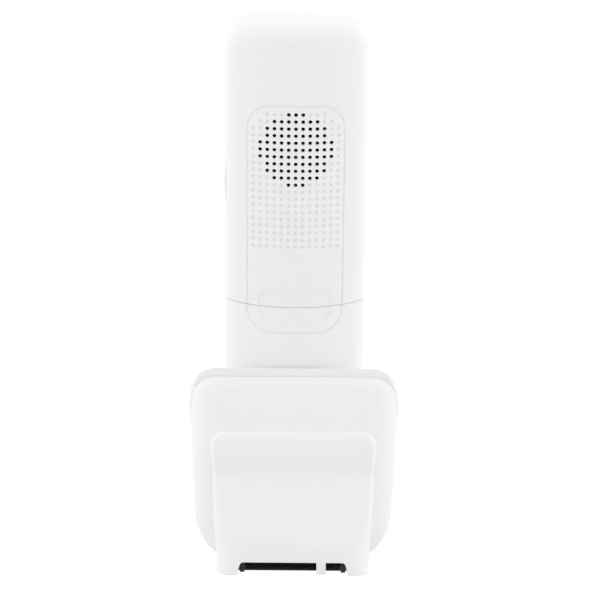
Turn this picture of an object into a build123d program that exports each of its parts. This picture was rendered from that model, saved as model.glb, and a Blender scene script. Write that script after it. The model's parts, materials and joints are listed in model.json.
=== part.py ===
"""Cordless telephone handset standing in its base: both housings, their insides, keys and contacts.

The handset leans back in the base. Its own frame has x across, y towards its back and z from chin to top;
the base is drawn in the part's frame: floor at z = 0, front towards -Y.
"""
import os
from math import atan2, cos, degrees, radians, sin, sqrt, tan

from build123d import *

os.makedirs("parts", exist_ok=True)

# ---------------------------------------------------------------- driving dimensions, mm and degrees
# handset
handset_length = 179.0
handset_width = 48.0
handset_depth = 26.0
handset_corner_radius = 9.0
back_crown_radius = 40.0
back_edge_radius = 7.5
front_edge_chamfer = 1.8
handset_wall = 1.6
cavity_corner_radius = 11.0
cavity_end_chamfer = 8.5
parting_depth = -3.0  # the two housings meet this far towards the back from mid-depth

# how the handset stands in the base
lean_angle = 17.4
seat_height = 18.0
seat_y = -20.65
pocket_clearance = 0.8
seat_gap = 0.3

# grille and textured panel on the handset's back
panel_width = 32.8
panel_bottom = 72.6
panel_top = 151.8
panel_top_radius = 6.0
panel_bottom_radius = 8.4
panel_line_width = 0.5
panel_line_depth = 0.25
grille_rows = (3, 7, 9, 9, 11, 11, 11, 9, 9, 7, 3)
grille_pitch = 2.4
grille_top = 149.0
grille_hole = 1.35
grille_hole_sides = 4
crown_facets = (-7.5, -4.5, -1.5, 1.5, 4.5, 7.5)  # inner facets' edges, in grille pitches

# battery door
door_top = 81.6
door_top_rise = 0.9  # the door's upper edge curves up this much at its ends
door_seam_depth = 3.5
door_gap = 0.25
door_wall = 1.4
door_travel = 3.0
thumb_recess_width = 25.0
thumb_recess_bottom = 76.7
thumb_recess_top = 87.7
thumb_recess_depth = 0.5
thumb_recess_radius = 4.5

# volume rocker on the handset's side
rocker_bottom = 115.4
rocker_top = 131.3
rocker_width = 4.6
rocker_centre_depth = 0.6
rocker_proud = 0.5
rocker_gap = 0.3
rocker_corner = 1.4
rocker_flange_length = 6.0
rocker_flange_lip = 0.6
rocker_flange_thickness = 0.9

# front face: display, earpiece, keys, microphone
window_width = 37.0
window_height = 37.0
window_bottom = 104.5
window_corner = 1.5
window_thickness = 1.0
window_ledge = 1.5
window_clearance = 0.15
display_border = 2.0
earpiece_slot_length = 13.0
earpiece_slot_width = 2.2
earpiece_height = 161.0
receiver_length = 15.0
receiver_width = 9.0
microphone_height = 10.0
microphone_hole = 1.2
microphone_diameter = 6.0

key_width = 12.4
key_height = 8.6
key_corner = 1.5
key_column_pitch = 14.6
key_row_pitch = 11.6
key_bottom_row = 25.0
key_clearance = 0.3
key_proud = 0.9
key_lip = 0.6
key_lip_thickness = 0.8
key_travel = 0.6
key_rest_gap = 0.1  # left over when a key is pressed
side_key_width = 10.6
side_key_height = 8.0
side_key_x = 15.2
call_key_row = 71.6
soft_key_row = 92.6
ring_diameter = 19.6
ring_hole = 9.6
ring_height = 83.2
ring_tilt = 2.5
ring_pivot_width = 5.0
centre_key_diameter = 8.8
centre_key_proud = 0.3
centre_key_lip_thickness = 0.5
ring_lip_gap = 0.2  # between the tilted ring and the centre key's lip

# insides of the handset
board_thickness = 1.2
membrane_thickness = 0.8
board_bottom = 6.0
board_top = 171.0
board_corner = 4.0
board_front_room = 0.6
membrane_width = 42.0
membrane_bottom = 17.0
membrane_top = 99.0
cell_diameter = 10.5
cell_length = 44.5
cell_spacing = 11.2
cell_bottom = 26.0
cell_centre_depth = 5.3
cell_nub_diameter = 3.6
cell_nub_length = 0.8
bay_margin = 0.4
bay_end_room = 3.6
bay_deck_depth = 3.2
deck_bottom = 13.0
deck_top = 84.8
bulkhead_thickness = 1.5
bay_floor_thickness = 1.3
contact_strip = 0.4
contact_strip_width = 7.0
contact_strip_height = 7.5
speaker_diameter = 28.0
speaker_depth = 5.0
speaker_basket_depth = 1.8
speaker_magnet = 17.0
speaker_height = 137.0
speaker_clearance = 0.2
speaker_ring_wall = 1.4
cloth_thickness = 0.3
antenna_width = 30.0
antenna_height = 7.0
antenna_thickness = 0.4
charge_pad_width = 5.0
charge_pad_depth = 3.2
charge_pad_thickness = 0.5
charge_pad_spacing = 18.0
charge_pad_centre_depth = -5.6
boss_diameter = 5.0
boss_sides = 8
hidden_sides = 16  # round pieces that no view reaches
boss_bore = 2.0
handset_boss_x = 18.6
handset_boss_low = 16.8
handset_boss_high = 79.2

# base
base_width = 73.2
base_top = 71.2
base_floor = 0.8
base_wall = 2.2
base_top_corner_radius = 9.5
base_bottom_corner_radius = 20.0
base_draft = radians(2.6)  # the sides draw in downwards
base_back_edge_radius = 9.0
base_back_chamfer = 4.5
base_bottom_chamfer = 12.0
base_front_edge_chamfer = 3.0
base_back = 35.4  # furthest back of the bowed back wall, from the seat point
base_back_height = 53.0
base_back_radius = 103.0
base_front = -24.0
lip_front = -12.3
lip_height = 33.5
rim_slope_back = 31.5
shell_gap = 0.15
well_room = 0.6  # left under the door when it has slid down
well_front = 2.6
plate_thickness = 2.5

# the foot that carries the base behind
stand_width_top = 57.6
stand_width_bottom = 52.6
stand_height = 49.2
stand_front = 20.0
stand_back = 38.6
stand_step_height = 10.5
stand_waist = 32.6
stand_waist_height = 31.5
stand_waist_radius = 22.0
stand_shoulder = 37.2
stand_shoulder_height = 45.0
stand_shoulder_radius = 3.0
stand_top_back = 36.0
stand_corner_radius = 5.5
leg_bottom = 0.4
notch_width = 37.0
notch_height = 4.6
notch_corner_radius = 1.2
cord_tab_x = -9.8
cord_tab_width = 3.2
cord_tab_depth = 2.0
cord_tab_bottom = 0.6
tray_wall = 1.5
tray_front = 16.1
tray_ceiling = 13.0
tray_back_room = 1.6

# insides of the base
pad_length = 9.0
pad_width = 5.0
pad_thickness = 1.2
pad_clearance = 0.1
front_pad_x = 12.0
front_pad_y = -14.0
back_pad_room = 1.2  # between the notch and a back pad's seat
back_pad_y = 30.0
power_jack_x = -10.0
power_jack_width = 9.0
power_jack_length = 10.5
power_jack_height = 7.5
power_jack_bore = 4.2
power_jack_pin = 1.3
line_jack_x = 8.0
line_jack_width = 12.6
line_jack_length = 10.5
line_jack_height = 8.0
line_port_width = 9.8
line_port_height = 5.4
ballast_length = 30.0
ballast_width = 13.0
ballast_thickness = 5.0
ballast_y = -9.0
base_board_length = 42.0
base_board_width = 11.0
contact_pin_width = 2.6
contact_pin_depth = 3.0
contact_pin_length = 5.4
contact_pin_lip = 0.8
contact_pin_lip_thickness = 0.8
contact_pin_gap = 0.2
base_boss_x = 20.0
base_boss_front = -12.0
base_boss_back = 6.0

# ---------------------------------------------------------------- frames
lean = radians(lean_angle)
across = Vector(1, 0, 0)
up = Vector(0, sin(lean), cos(lean))
back = Vector(0, cos(lean), -sin(lean))
seat = Vector(0, seat_y, seat_height)

section_plane = Plane(origin=seat, x_dir=across, z_dir=up)  # x across, y towards the back
face_plane = Plane(origin=seat, x_dir=across, z_dir=-back)  # x across, y up the handset
side_plane = Plane(origin=seat, x_dir=back, z_dir=across)  # x towards the back, y up the handset
floor_plane = Plane(origin=(0, seat_y, 0))
profile_plane = Plane(origin=(0, seat_y, 0), x_dir=(0, 1, 0), z_dir=across)  # x backwards, y up
back_plane = Plane(origin=(0, seat_y, 0), x_dir=across, z_dir=(0, -1, 0))  # x across, y up
far = 3 * handset_depth  # reach of a cut that goes right through

half_width = handset_width / 2
half_depth = handset_depth / 2
crown_centre = half_depth - back_crown_radius


def at_depth(depth):
    """The face plane moved to a depth towards the handset's back."""
    return face_plane.offset(-depth)


def crown_depth(x, inset=0.0):
    """Depth of the crowned back at a distance x from its middle."""
    return crown_centre + sqrt((back_crown_radius - inset) ** 2 - x**2)


def handset_form():
    """The handset's outer form: a rounded outline under a crowned back, with softened edges."""
    length = handset_length + far
    with BuildPart() as form:
        with BuildSketch(at_depth(-half_depth)):
            with Locations((0, handset_length - length / 2)):
                Rectangle(handset_width, length)
            fillet(vertices().group_by(Axis.Y)[-1], handset_corner_radius)
        extrude(amount=-handset_depth)
        with BuildSketch(section_plane.offset(-far)):
            with Locations((0, crown_centre)):
                Circle(back_crown_radius)
        extrude(amount=length, mode=Mode.INTERSECT)
        crowned = form.faces().filter_by(GeomType.CYLINDER).sort_by(SortBy.AREA)[-1]
        crown_edges = crowned.edges().filter_by(
            lambda edge: (edge.center() - seat).dot(up) > -handset_depth
        )
        fillet(crown_edges, back_edge_radius)
        front = form.faces().filter_by(lambda face: face.normal_at().dot(back) < -0.999)
        chamfer(front.edges(), front_edge_chamfer)
        with BuildSketch(at_depth(-half_depth)):
            with Locations((0, handset_length)):
                RectangleRounded(handset_width, 2 * handset_length, handset_corner_radius)
        extrude(amount=-handset_depth, mode=Mode.INTERSECT)
        with BuildSketch(side_plane):
            with Locations((0, handset_length)):
                Rectangle(handset_depth, 2 * handset_length)
            lower = vertices().group_by(Axis.Y)[0].sort_by(Axis.X)
            chamfer(lower[0], front_edge_chamfer)
            fillet(vertices().group_by(Axis.Y)[0].sort_by(Axis.X)[-1], back_edge_radius)
        extrude(amount=handset_width, both=True, mode=Mode.INTERSECT)
    return form.part


def handset_cavity(wall):
    """The hollow inside the handset: flat facets under the crown, and ends cut back behind the edges."""
    half = half_width - wall
    facets = [(x * grille_pitch, crown_depth(x * grille_pitch, wall)) for x in crown_facets]
    edge_depth = crown_depth(half, wall)
    with BuildPart() as cavity:
        with BuildSketch(section_plane):
            with BuildLine():
                Polyline(
                    (half, edge_depth), (half, wall - half_depth), (-half, wall - half_depth),
                    (-half, edge_depth), *facets, close=True,
                )
            make_face()
        extrude(amount=handset_length)
        with BuildSketch(at_depth(-half_depth)):
            with Locations((0, handset_length / 2)):
                RectangleRounded(2 * half, handset_length - 2 * wall, cavity_corner_radius)
        extrude(amount=-handset_depth, mode=Mode.INTERSECT)
        with BuildSketch(side_plane):
            with Locations((0, handset_length / 2)):
                Rectangle(handset_depth - 2 * wall, handset_length - 2 * wall)
            chamfer(vertices().filter_by_position(Axis.X, 0, handset_depth), cavity_end_chamfer)
        extrude(amount=handset_width, both=True, mode=Mode.INTERSECT)
    return cavity.part


def pod_form(inset, soften, back_corner, top_corner, bottom_corner):
    """The base's pod without its foot, drawn in by inset; soften rounds or bevels its corners."""
    half = base_width / 2 - inset
    reach = base_back - inset - 2 * base_front
    top_half = half + (base_top_corner_radius - inset) * tan(base_draft)
    bottom_half = top_half - (base_top - base_floor - 2 * inset) * tan(base_draft)
    with BuildPart() as form:
        with BuildSketch(Plane(origin=(0, seat_y, base_back_height))):
            with Locations((0, 2 * base_front + reach / 2)):
                Rectangle(2 * half, reach)
            soften(vertices().group_by(Axis.Y)[-1], back_corner)
        revolve(axis=Axis((0, seat_y + base_back - base_back_radius, base_back_height), (1, 0, 0)))
        with BuildSketch(back_plane):
            with BuildLine():
                Polyline(
                    (-bottom_half, base_floor + inset), (bottom_half, base_floor + inset),
                    (top_half, base_top - inset), (-top_half, base_top - inset), close=True,
                )
            make_face()
            soften(vertices().group_by(Axis.Y)[0], bottom_corner)
            soften(vertices().group_by(Axis.Y)[-1], top_corner)
        extrude(amount=base_width, both=True, mode=Mode.INTERSECT)
        with BuildSketch(profile_plane):
            with BuildLine():
                Polyline(
                    (base_front, 0), (lip_front, lip_height), (rim_slope_back, base_top),
                    (2 * base_width, base_top), (2 * base_width, 0), close=True,
                )
            make_face()
            offset(amount=-inset)
        extrude(amount=base_width, both=True, mode=Mode.INTERSECT)
    return form.part


def pocket_form(grow):
    """The straight-sided room round the docked handset, open upwards, with the well under its door."""
    high = 2 * handset_length
    with BuildPart() as form:
        for front, low in (
            (-half_depth - grow, -grow),
            (well_front + pocket_clearance - grow, -grow - well_depth),
        ):
            with BuildSketch(at_depth(front)):
                with Locations((0, (low + high) / 2)):
                    RectangleRounded(handset_width + 2 * grow, high - low, handset_corner_radius + grow)
            extrude(amount=front - half_depth - grow)
        with BuildSketch(section_plane.offset(-handset_width)):
            with Locations((0, crown_centre)):
                Circle(back_crown_radius + grow)
        extrude(amount=high + handset_width, mode=Mode.INTERSECT)
    return form.part


def stand_form():
    """The foot behind the base: it narrows downwards, and its waisted back runs out to the floor."""
    plan_depth = stand_back - stand_front
    side_slope = degrees(atan2((stand_width_top - stand_width_bottom) / 2, stand_height))
    with BuildPart() as form:
        with BuildSketch(floor_plane):
            with Locations((0, stand_front + plan_depth / 2)):
                RectangleRounded(stand_width_bottom, plan_depth, stand_corner_radius)
        extrude(amount=stand_height, taper=-side_slope)
        with BuildSketch(profile_plane):
            with BuildLine():
                Polyline(*stand_corners, close=True)
            make_face()
            for height, radius in (
                (stand_waist_height, stand_waist_radius), (stand_shoulder_height, stand_shoulder_radius)
            ):
                fillet(vertices().filter_by_position(Axis.Y, height - 0.1, height + 0.1), radius)
        extrude(amount=stand_width_top, both=True, mode=Mode.INTERSECT)
    return form.part


def stand_cavity():
    """The hollow inside the foot, open forwards into the pod and downwards to the floor."""
    low = stand_width_bottom / 2 - base_wall
    high = stand_width_top / 2 - base_wall
    with BuildPart() as cavity:
        with BuildSketch(back_plane):
            with BuildLine():
                Polyline((-low, 0), (low, 0), (high, stand_height), (-high, stand_height), close=True)
            make_face()
        extrude(amount=-stand_back)
        with BuildSketch(profile_plane):
            with BuildLine():
                Polyline(*stand_corners, close=True)
            make_face()
            offset(amount=-base_wall)
        extrude(amount=stand_width_top, both=True, mode=Mode.INTERSECT)
        with BuildSketch(floor_plane):
            Rectangle(notch_width, 2 * (stand_back - base_wall))
        extrude(amount=leg_bottom + 2 * base_wall)
    return cavity.part


def door_zone(gap):
    """All that lies on the battery door's side of its seams, grown by gap."""
    half = handset_width
    low = -handset_length
    rise = door_top_rise * (half / (0.45 * handset_width)) ** 2
    with BuildPart() as zone:
        with BuildSketch(at_depth(door_seam_depth - gap)):
            with BuildLine():
                high = door_top + rise + gap
                ThreePointArc((-half, high), (0, door_top + gap), (half, high))
                Polyline((half, high), (half, low), (-half, low), (-half, high))
            make_face()
        extrude(amount=-far)
    return zone.part


def panel_outline(grow):
    """The textured panel's outline, grown by grow on every side."""
    with BuildSketch(at_depth(0)) as outline:
        with BuildLine():
            half = panel_width / 2 + grow
            low = panel_bottom - grow
            high = panel_top + grow
            FilletPolyline(
                (0, low), (half, low), (half, high), (0, high),
                radius=[panel_bottom_radius + grow, panel_top_radius + grow],
            )
            mirror(about=Plane(at_depth(0).origin, x_dir=(0, 1, 0), z_dir=(1, 0, 0)))
        make_face()
    return outline.sketch


def crowned_core(inset):
    """Everything deeper than inset under the crowned back."""
    with BuildPart() as core:
        with BuildSketch(section_plane):
            with Locations((0, crown_centre)):
                Circle(back_crown_radius - inset)
        extrude(amount=handset_length)
    return core.part


def back_engraving():
    """What is cut into the back's surface: the line round the panel and the thumb recess."""
    with BuildPart() as engraving:
        extrude(panel_outline(panel_line_width / 2), amount=-far)
        extrude(panel_outline(-panel_line_width / 2), amount=-far, mode=Mode.SUBTRACT)
        add(crowned_core(panel_line_depth), mode=Mode.SUBTRACT)
    with BuildPart() as recess:
        with BuildSketch(at_depth(0)):
            with Locations((0, (thumb_recess_bottom + thumb_recess_top) / 2)):
                RectangleRounded(
                    thumb_recess_width, thumb_recess_top - thumb_recess_bottom, thumb_recess_radius
                )
        extrude(amount=-far)
        add(crowned_core(thumb_recess_depth), mode=Mode.SUBTRACT)
    return engraving.part + recess.part


# ---------------------------------------------------------------- shared places
stand_corners = [
    (0, leg_bottom), (stand_back, leg_bottom), (stand_back, stand_step_height),
    (stand_waist, stand_waist_height), (stand_shoulder, stand_shoulder_height),
    (stand_top_back, stand_height), (0, stand_height),
]
front_inside = handset_wall - half_depth  # depth of the front wall's inner face
lip_depth = front_inside + seat_gap
ring_swing = ring_pivot_width / 2 * sin(radians(ring_tilt))
centre_lip_depth = lip_depth + key_lip_thickness + ring_swing + ring_lip_gap
membrane_depth = centre_lip_depth + centre_key_lip_thickness + key_travel + key_rest_gap
board_front_depth = membrane_depth + membrane_thickness
well_depth = door_travel + well_room
device_depth = board_front_depth - front_inside - 2 * seat_gap  # room between front wall and board
board_back_depth = board_front_depth + board_thickness
window_middle = window_bottom + window_height / 2
rocker_middle = (rocker_bottom + rocker_top) / 2
inner_half_width = half_width - handset_wall
cell_bay_floor = cell_centre_depth - cell_diameter / 2 - bay_margin
deck_underside = cell_bay_floor - bay_floor_thickness
cell_x = cell_spacing / 2
speaker_front = crown_depth(speaker_diameter / 2, handset_wall) - seat_gap - cloth_thickness
pad_places = [(x * charge_pad_spacing / 2, charge_pad_centre_depth) for x in (-1, 1)]
boss_places = [(x * handset_boss_x, y) for x in (-1, 1) for y in (handset_boss_low, handset_boss_high)]
base_boss_places = [(x * base_boss_x, y) for x in (-1, 1) for y in (base_boss_front, base_boss_back)]
plate_top = base_floor + plate_thickness
back_pad_x = notch_width / 2 + back_pad_room + pad_width / 2
seam_depth = half_depth + pocket_clearance + base_wall

keypad = ("123", "456", "789", "*0#")
key_names = {"*": "star", "#": "hash"}
digit_places = {}
for row, characters in enumerate(keypad):
    for column, character in enumerate(characters):
        key_name = "key_" + key_names.get(character, character)
        digit_places[key_name] = (
            (column - 1) * key_column_pitch,
            key_bottom_row + (len(keypad) - 1 - row) * key_row_pitch,
        )
side_places = {
    "talk_key": (-side_key_x, call_key_row),
    "off_key": (side_key_x, call_key_row),
    "soft_key_left": (-side_key_x, soft_key_row),
    "soft_key_right": (side_key_x, soft_key_row),
}

# ---------------------------------------------------------------- handset housings
handset_shell = handset_form()
handset_inside = handset_cavity(handset_wall)

with BuildPart() as handset_front_housing:
    add(handset_shell)
    add(handset_inside, mode=Mode.SUBTRACT)
    split(bisect_by=at_depth(parting_depth), keep=Keep.TOP)
    with BuildSketch(at_depth(front_inside - seat_gap)):
        with Locations(*boss_places):
            RegularPolygon(boss_diameter / 2, boss_sides)
    extrude(amount=front_inside - seat_gap - deck_underside)
    with BuildSketch(at_depth(deck_underside)):
        with Locations(*boss_places):
            RegularPolygon(boss_bore / 2, boss_sides)
    extrude(amount=deck_underside - front_inside, mode=Mode.SUBTRACT)
    with BuildSketch(at_depth(-half_depth)):
        with Locations((0, window_middle)):
            Rectangle(window_width + 2 * window_clearance, window_height + 2 * window_clearance)
        chamfer(vertices(), window_corner)
    extrude(amount=-window_thickness, mode=Mode.SUBTRACT)
    with BuildSketch(at_depth(-half_depth)):
        with Locations((0, window_middle)):
            Rectangle(window_width - 2 * window_ledge, window_height - 2 * window_ledge)
        with Locations(*digit_places.values()):
            Rectangle(key_width + 2 * key_clearance, key_height + 2 * key_clearance)
        with Locations(*side_places.values()):
            Rectangle(side_key_width + 2 * key_clearance, side_key_height + 2 * key_clearance)
        chamfer(vertices(), key_corner)
        with Locations((0, earpiece_height)):
            SlotOverall(earpiece_slot_length, earpiece_slot_width)
        with Locations((0, microphone_height)):
            Circle(microphone_hole / 2)
        with Locations((0, ring_height)):
            Circle(ring_diameter / 2 + key_clearance)
    extrude(amount=-2 * handset_wall, mode=Mode.SUBTRACT)
    with BuildSketch(section_plane):
        with Locations(*pad_places):
            Rectangle(charge_pad_width, charge_pad_depth)
    extrude(amount=charge_pad_thickness, mode=Mode.SUBTRACT)
handset_front_housing.part.label = "handset_front_housing"

with BuildPart() as battery_deck:
    with BuildSketch(at_depth(bay_deck_depth)):
        with BuildLine():
            deck_half = inner_half_width + handset_wall / 2
            Polyline(
                (-deck_half, deck_bottom), (deck_half, deck_bottom), (deck_half, deck_top),
                (-deck_half, deck_top), close=True,
            )
        make_face()
    extrude(amount=bay_deck_depth - deck_underside)
    with BuildSketch(section_plane.offset(deck_top - bulkhead_thickness)):
        with Locations((0, (deck_underside + half_depth) / 2)):
            Rectangle(2 * deck_half, half_depth - deck_underside)
    extrude(amount=bulkhead_thickness)
    with BuildSketch(at_depth(speaker_front - speaker_depth)):
        with Locations((0, speaker_height)):
            RegularPolygon(speaker_diameter / 2 + speaker_clearance + speaker_ring_wall, hidden_sides)
            RegularPolygon(speaker_diameter / 2 + speaker_clearance, hidden_sides, mode=Mode.SUBTRACT)
    extrude(amount=-far)
    add(handset_cavity(handset_wall - seat_gap), mode=Mode.INTERSECT)
    with BuildSketch(at_depth(bay_deck_depth)):
        with Locations((0, cell_bottom + cell_length / 2)):
            Rectangle(
                cell_spacing + cell_diameter + 2 * bay_margin, cell_length + 2 * bay_end_room
            )
    extrude(amount=bay_deck_depth - cell_bay_floor, mode=Mode.SUBTRACT)
    with BuildSketch(at_depth(bay_deck_depth)):
        with Locations(*boss_places):
            RegularPolygon(boss_bore / 2, boss_sides)
    extrude(amount=bay_deck_depth - deck_underside, mode=Mode.SUBTRACT)

engraving = back_engraving()

with BuildPart() as handset_rear_housing:
    add(handset_shell)
    add(handset_inside, mode=Mode.SUBTRACT)
    split(bisect_by=at_depth(parting_depth), keep=Keep.BOTTOM)
    add(door_zone(door_gap), mode=Mode.SUBTRACT)
    add(battery_deck.part)
    add(engraving, mode=Mode.SUBTRACT)
    with BuildSketch(at_depth(half_depth)):
        for row, count in enumerate(grille_rows):
            with Locations((0, grille_top - row * grille_pitch)):
                with GridLocations(grille_pitch, grille_pitch, count, 1):
                    RegularPolygon(grille_hole / 2, grille_hole_sides)
    extrude(amount=half_depth - speaker_front, mode=Mode.SUBTRACT)
    with BuildSketch(side_plane.offset(half_width)):
        with Locations((rocker_centre_depth, rocker_middle)):
            Rectangle(rocker_width, rocker_top - rocker_bottom)
        chamfer(vertices(), rocker_corner)
    extrude(amount=-2 * handset_wall, mode=Mode.SUBTRACT)
handset_rear_housing.part.label = "handset_rear_housing"

with BuildPart() as battery_door:
    add(handset_shell)
    add(handset_cavity(door_wall), mode=Mode.SUBTRACT)
    add(door_zone(0), mode=Mode.INTERSECT)
    add(engraving, mode=Mode.SUBTRACT)
battery_door.part.label = "battery_door"

# ---------------------------------------------------------------- keys and rocker
def key_cap(width, height, place):
    """A key with a straight cap through the front wall and a lip that stops behind it."""
    with BuildPart() as key:
        with BuildSketch(at_depth(lip_depth)):
            with Locations(place):
                Rectangle(width, height)
            chamfer(vertices(), key_corner)
        extrude(amount=lip_depth + half_depth + key_proud)
        with BuildSketch(at_depth(lip_depth)):
            with Locations(place):
                Rectangle(width + 2 * key_lip, height + 2 * key_lip)
        extrude(amount=-key_lip_thickness)
    return key


keys = {}
for key_name, place in digit_places.items():
    keys[key_name] = key_cap(key_width, key_height, place)
for key_name, place in side_places.items():
    keys[key_name] = key_cap(side_key_width, side_key_height, place)
for key_name, key in keys.items():
    key.part.label = key_name

with BuildPart() as navigation_ring:
    with BuildSketch(at_depth(lip_depth)):
        with Locations((0, ring_height)):
            Circle(ring_diameter / 2)
    extrude(amount=lip_depth + half_depth + key_proud)
    with BuildSketch(at_depth(lip_depth)):
        with Locations((0, ring_height)):
            Rectangle(ring_diameter + 2 * key_lip, ring_pivot_width)
    extrude(amount=-key_lip_thickness)
    with BuildSketch(at_depth(lip_depth + key_lip_thickness)):
        with Locations((0, ring_height)):
            Circle(ring_hole / 2)
    extrude(amount=far, mode=Mode.SUBTRACT)
navigation_ring.part.label = "navigation_ring"

with BuildPart() as centre_key:
    with BuildSketch(at_depth(centre_lip_depth)):
        with Locations((0, ring_height)):
            Circle(centre_key_diameter / 2)
    extrude(amount=centre_lip_depth + half_depth + key_proud + centre_key_proud)
    with BuildSketch(at_depth(centre_lip_depth)):
        with Locations((0, ring_height)):
            RegularPolygon(centre_key_diameter / 2 + key_lip, hidden_sides)
    extrude(amount=-centre_key_lip_thickness)
centre_key.part.label = "centre_key"

with BuildPart() as volume_rocker:
    rocker_inside = inner_half_width - seat_gap - rocker_flange_thickness
    with BuildSketch(side_plane.offset(rocker_inside)):
        with Locations((rocker_centre_depth, rocker_middle)):
            Rectangle(rocker_width - 2 * rocker_gap, rocker_top - rocker_bottom - 2 * rocker_gap)
        chamfer(vertices(), rocker_corner)
    extrude(amount=half_width + rocker_proud - rocker_inside)
    with BuildSketch(side_plane.offset(rocker_inside)):
        with Locations((rocker_centre_depth, rocker_middle)):
            Rectangle(rocker_width + 2 * rocker_flange_lip, rocker_flange_length)
    extrude(amount=rocker_flange_thickness)
volume_rocker.part.label = "volume_rocker"

# ---------------------------------------------------------------- insides of the handset
with BuildPart() as display_window:
    with BuildSketch(at_depth(-half_depth)):
        with Locations((0, window_middle)):
            Rectangle(window_width, window_height)
        chamfer(vertices(), window_corner)
    extrude(amount=-window_thickness)
display_window.part.label = "display_window"

with BuildPart() as display_module:
    with BuildSketch(at_depth(lip_depth)):
        with Locations((0, window_middle)):
            Rectangle(window_width + display_border, window_height + display_border)
    extrude(amount=-device_depth)
display_module.part.label = "display_module"

with BuildPart() as earpiece_receiver:
    with BuildSketch(at_depth(lip_depth)):
        with Locations((0, earpiece_height)):
            SlotOverall(receiver_length, receiver_width)
    extrude(amount=-device_depth)
earpiece_receiver.part.label = "earpiece_receiver"

with BuildPart() as microphone:
    with BuildSketch(at_depth(lip_depth)):
        with Locations((0, microphone_height)):
            RegularPolygon(microphone_diameter / 2, hidden_sides)
    extrude(amount=-device_depth)
microphone.part.label = "microphone"

with BuildPart() as main_board:
    with BuildSketch(at_depth(board_front_depth)):
        with Locations((0, (board_bottom + board_top) / 2)):
            Rectangle(2 * (inner_half_width - seat_gap), board_top - board_bottom)
        chamfer(vertices(), board_corner)
        with Locations(*boss_places):
            RegularPolygon(boss_diameter / 2 + seat_gap, boss_sides, mode=Mode.SUBTRACT)
    extrude(amount=-board_thickness)
main_board.part.label = "main_board"

with BuildPart() as keypad_membrane:
    with BuildSketch(at_depth(membrane_depth)):
        with Locations((0, (membrane_bottom + membrane_top) / 2)):
            Rectangle(membrane_width, membrane_top - membrane_bottom)
        with Locations(*boss_places):
            RegularPolygon(boss_diameter / 2 + seat_gap, boss_sides, mode=Mode.SUBTRACT)
    extrude(amount=-membrane_thickness)
keypad_membrane.part.label = "keypad_membrane"

with BuildPart() as antenna:
    with BuildSketch(at_depth(board_back_depth)):
        with Locations((0, board_top - antenna_height)):
            Rectangle(antenna_width, antenna_height)
            Rectangle(antenna_width - antenna_height, antenna_height / 3, mode=Mode.SUBTRACT)
    extrude(amount=-antenna_thickness)
antenna.part.label = "antenna"

with BuildPart() as rear_loudspeaker:
    with BuildSketch(at_depth(speaker_front)):
        with Locations((0, speaker_height)):
            RegularPolygon(speaker_diameter / 2, hidden_sides)
    extrude(amount=speaker_basket_depth)
    with BuildSketch(at_depth(speaker_front - speaker_basket_depth)):
        with Locations((0, speaker_height)):
            RegularPolygon(speaker_magnet / 2, hidden_sides)
    extrude(amount=speaker_depth - speaker_basket_depth)
rear_loudspeaker.part.label = "rear_loudspeaker"

with BuildPart() as speaker_cloth:
    with BuildSketch(at_depth(speaker_front)):
        with Locations((0, speaker_height)):
            RegularPolygon(speaker_diameter / 2, hidden_sides)
    extrude(amount=-cloth_thickness)
speaker_cloth.part.label = "speaker_cloth"

cells = {}
for cell_name, side, nub_up in (("battery_cell_left", -1, True), ("battery_cell_right", 1, False)):
    can_bottom = cell_bottom + (0 if nub_up else cell_nub_length)
    with BuildPart() as cell:
        with BuildSketch(section_plane.offset(can_bottom)):
            with Locations((side * cell_x, cell_centre_depth)):
                Circle(cell_diameter / 2)
        extrude(amount=cell_length - cell_nub_length)
        with BuildSketch(section_plane.offset(cell_bottom)):
            with Locations((side * cell_x, cell_centre_depth)):
                Circle(cell_nub_diameter / 2)
        extrude(amount=cell_length if nub_up else cell_nub_length)
    cell.part.label = cell_name
    cells[cell_name] = cell

with BuildPart() as battery_contacts:
    for height, turn in ((cell_bottom, -1), (cell_bottom + cell_length, 1)):
        for side in (-1, 1):
            with BuildSketch(section_plane.offset(height)):
                with Locations((side * cell_x, cell_bay_floor + contact_strip_height / 2)):
                    Rectangle(contact_strip_width, contact_strip_height)
            extrude(amount=turn * contact_strip)
            with BuildSketch(section_plane.offset(height + turn * contact_strip)):
                with Locations((side * cell_x, cell_bay_floor + contact_strip / 2)):
                    Rectangle(contact_strip_width, contact_strip)
            extrude(amount=turn * (bay_end_room - contact_strip))
battery_contacts.part.label = "battery_contacts"

with BuildPart() as handset_charge_pads:
    with BuildSketch(section_plane):
        with Locations(*pad_places):
            Rectangle(charge_pad_width - 2 * pad_clearance, charge_pad_depth - 2 * pad_clearance)
    extrude(amount=charge_pad_thickness)
handset_charge_pads.part.label = "handset_charge_pads"


# ---------------------------------------------------------------- base
base_inside = pod_form(base_wall, chamfer, base_back_chamfer, base_back_chamfer, base_bottom_chamfer)

with BuildPart() as base_solid:
    add(pod_form(0, fillet, base_back_edge_radius, base_top_corner_radius, base_bottom_corner_radius))
    sloping_front = base_solid.faces().sort_by(Axis.Y)[0]
    chamfer(sloping_front.edges().sort_by(Axis.Z)[:-1], base_front_edge_chamfer)

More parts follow.
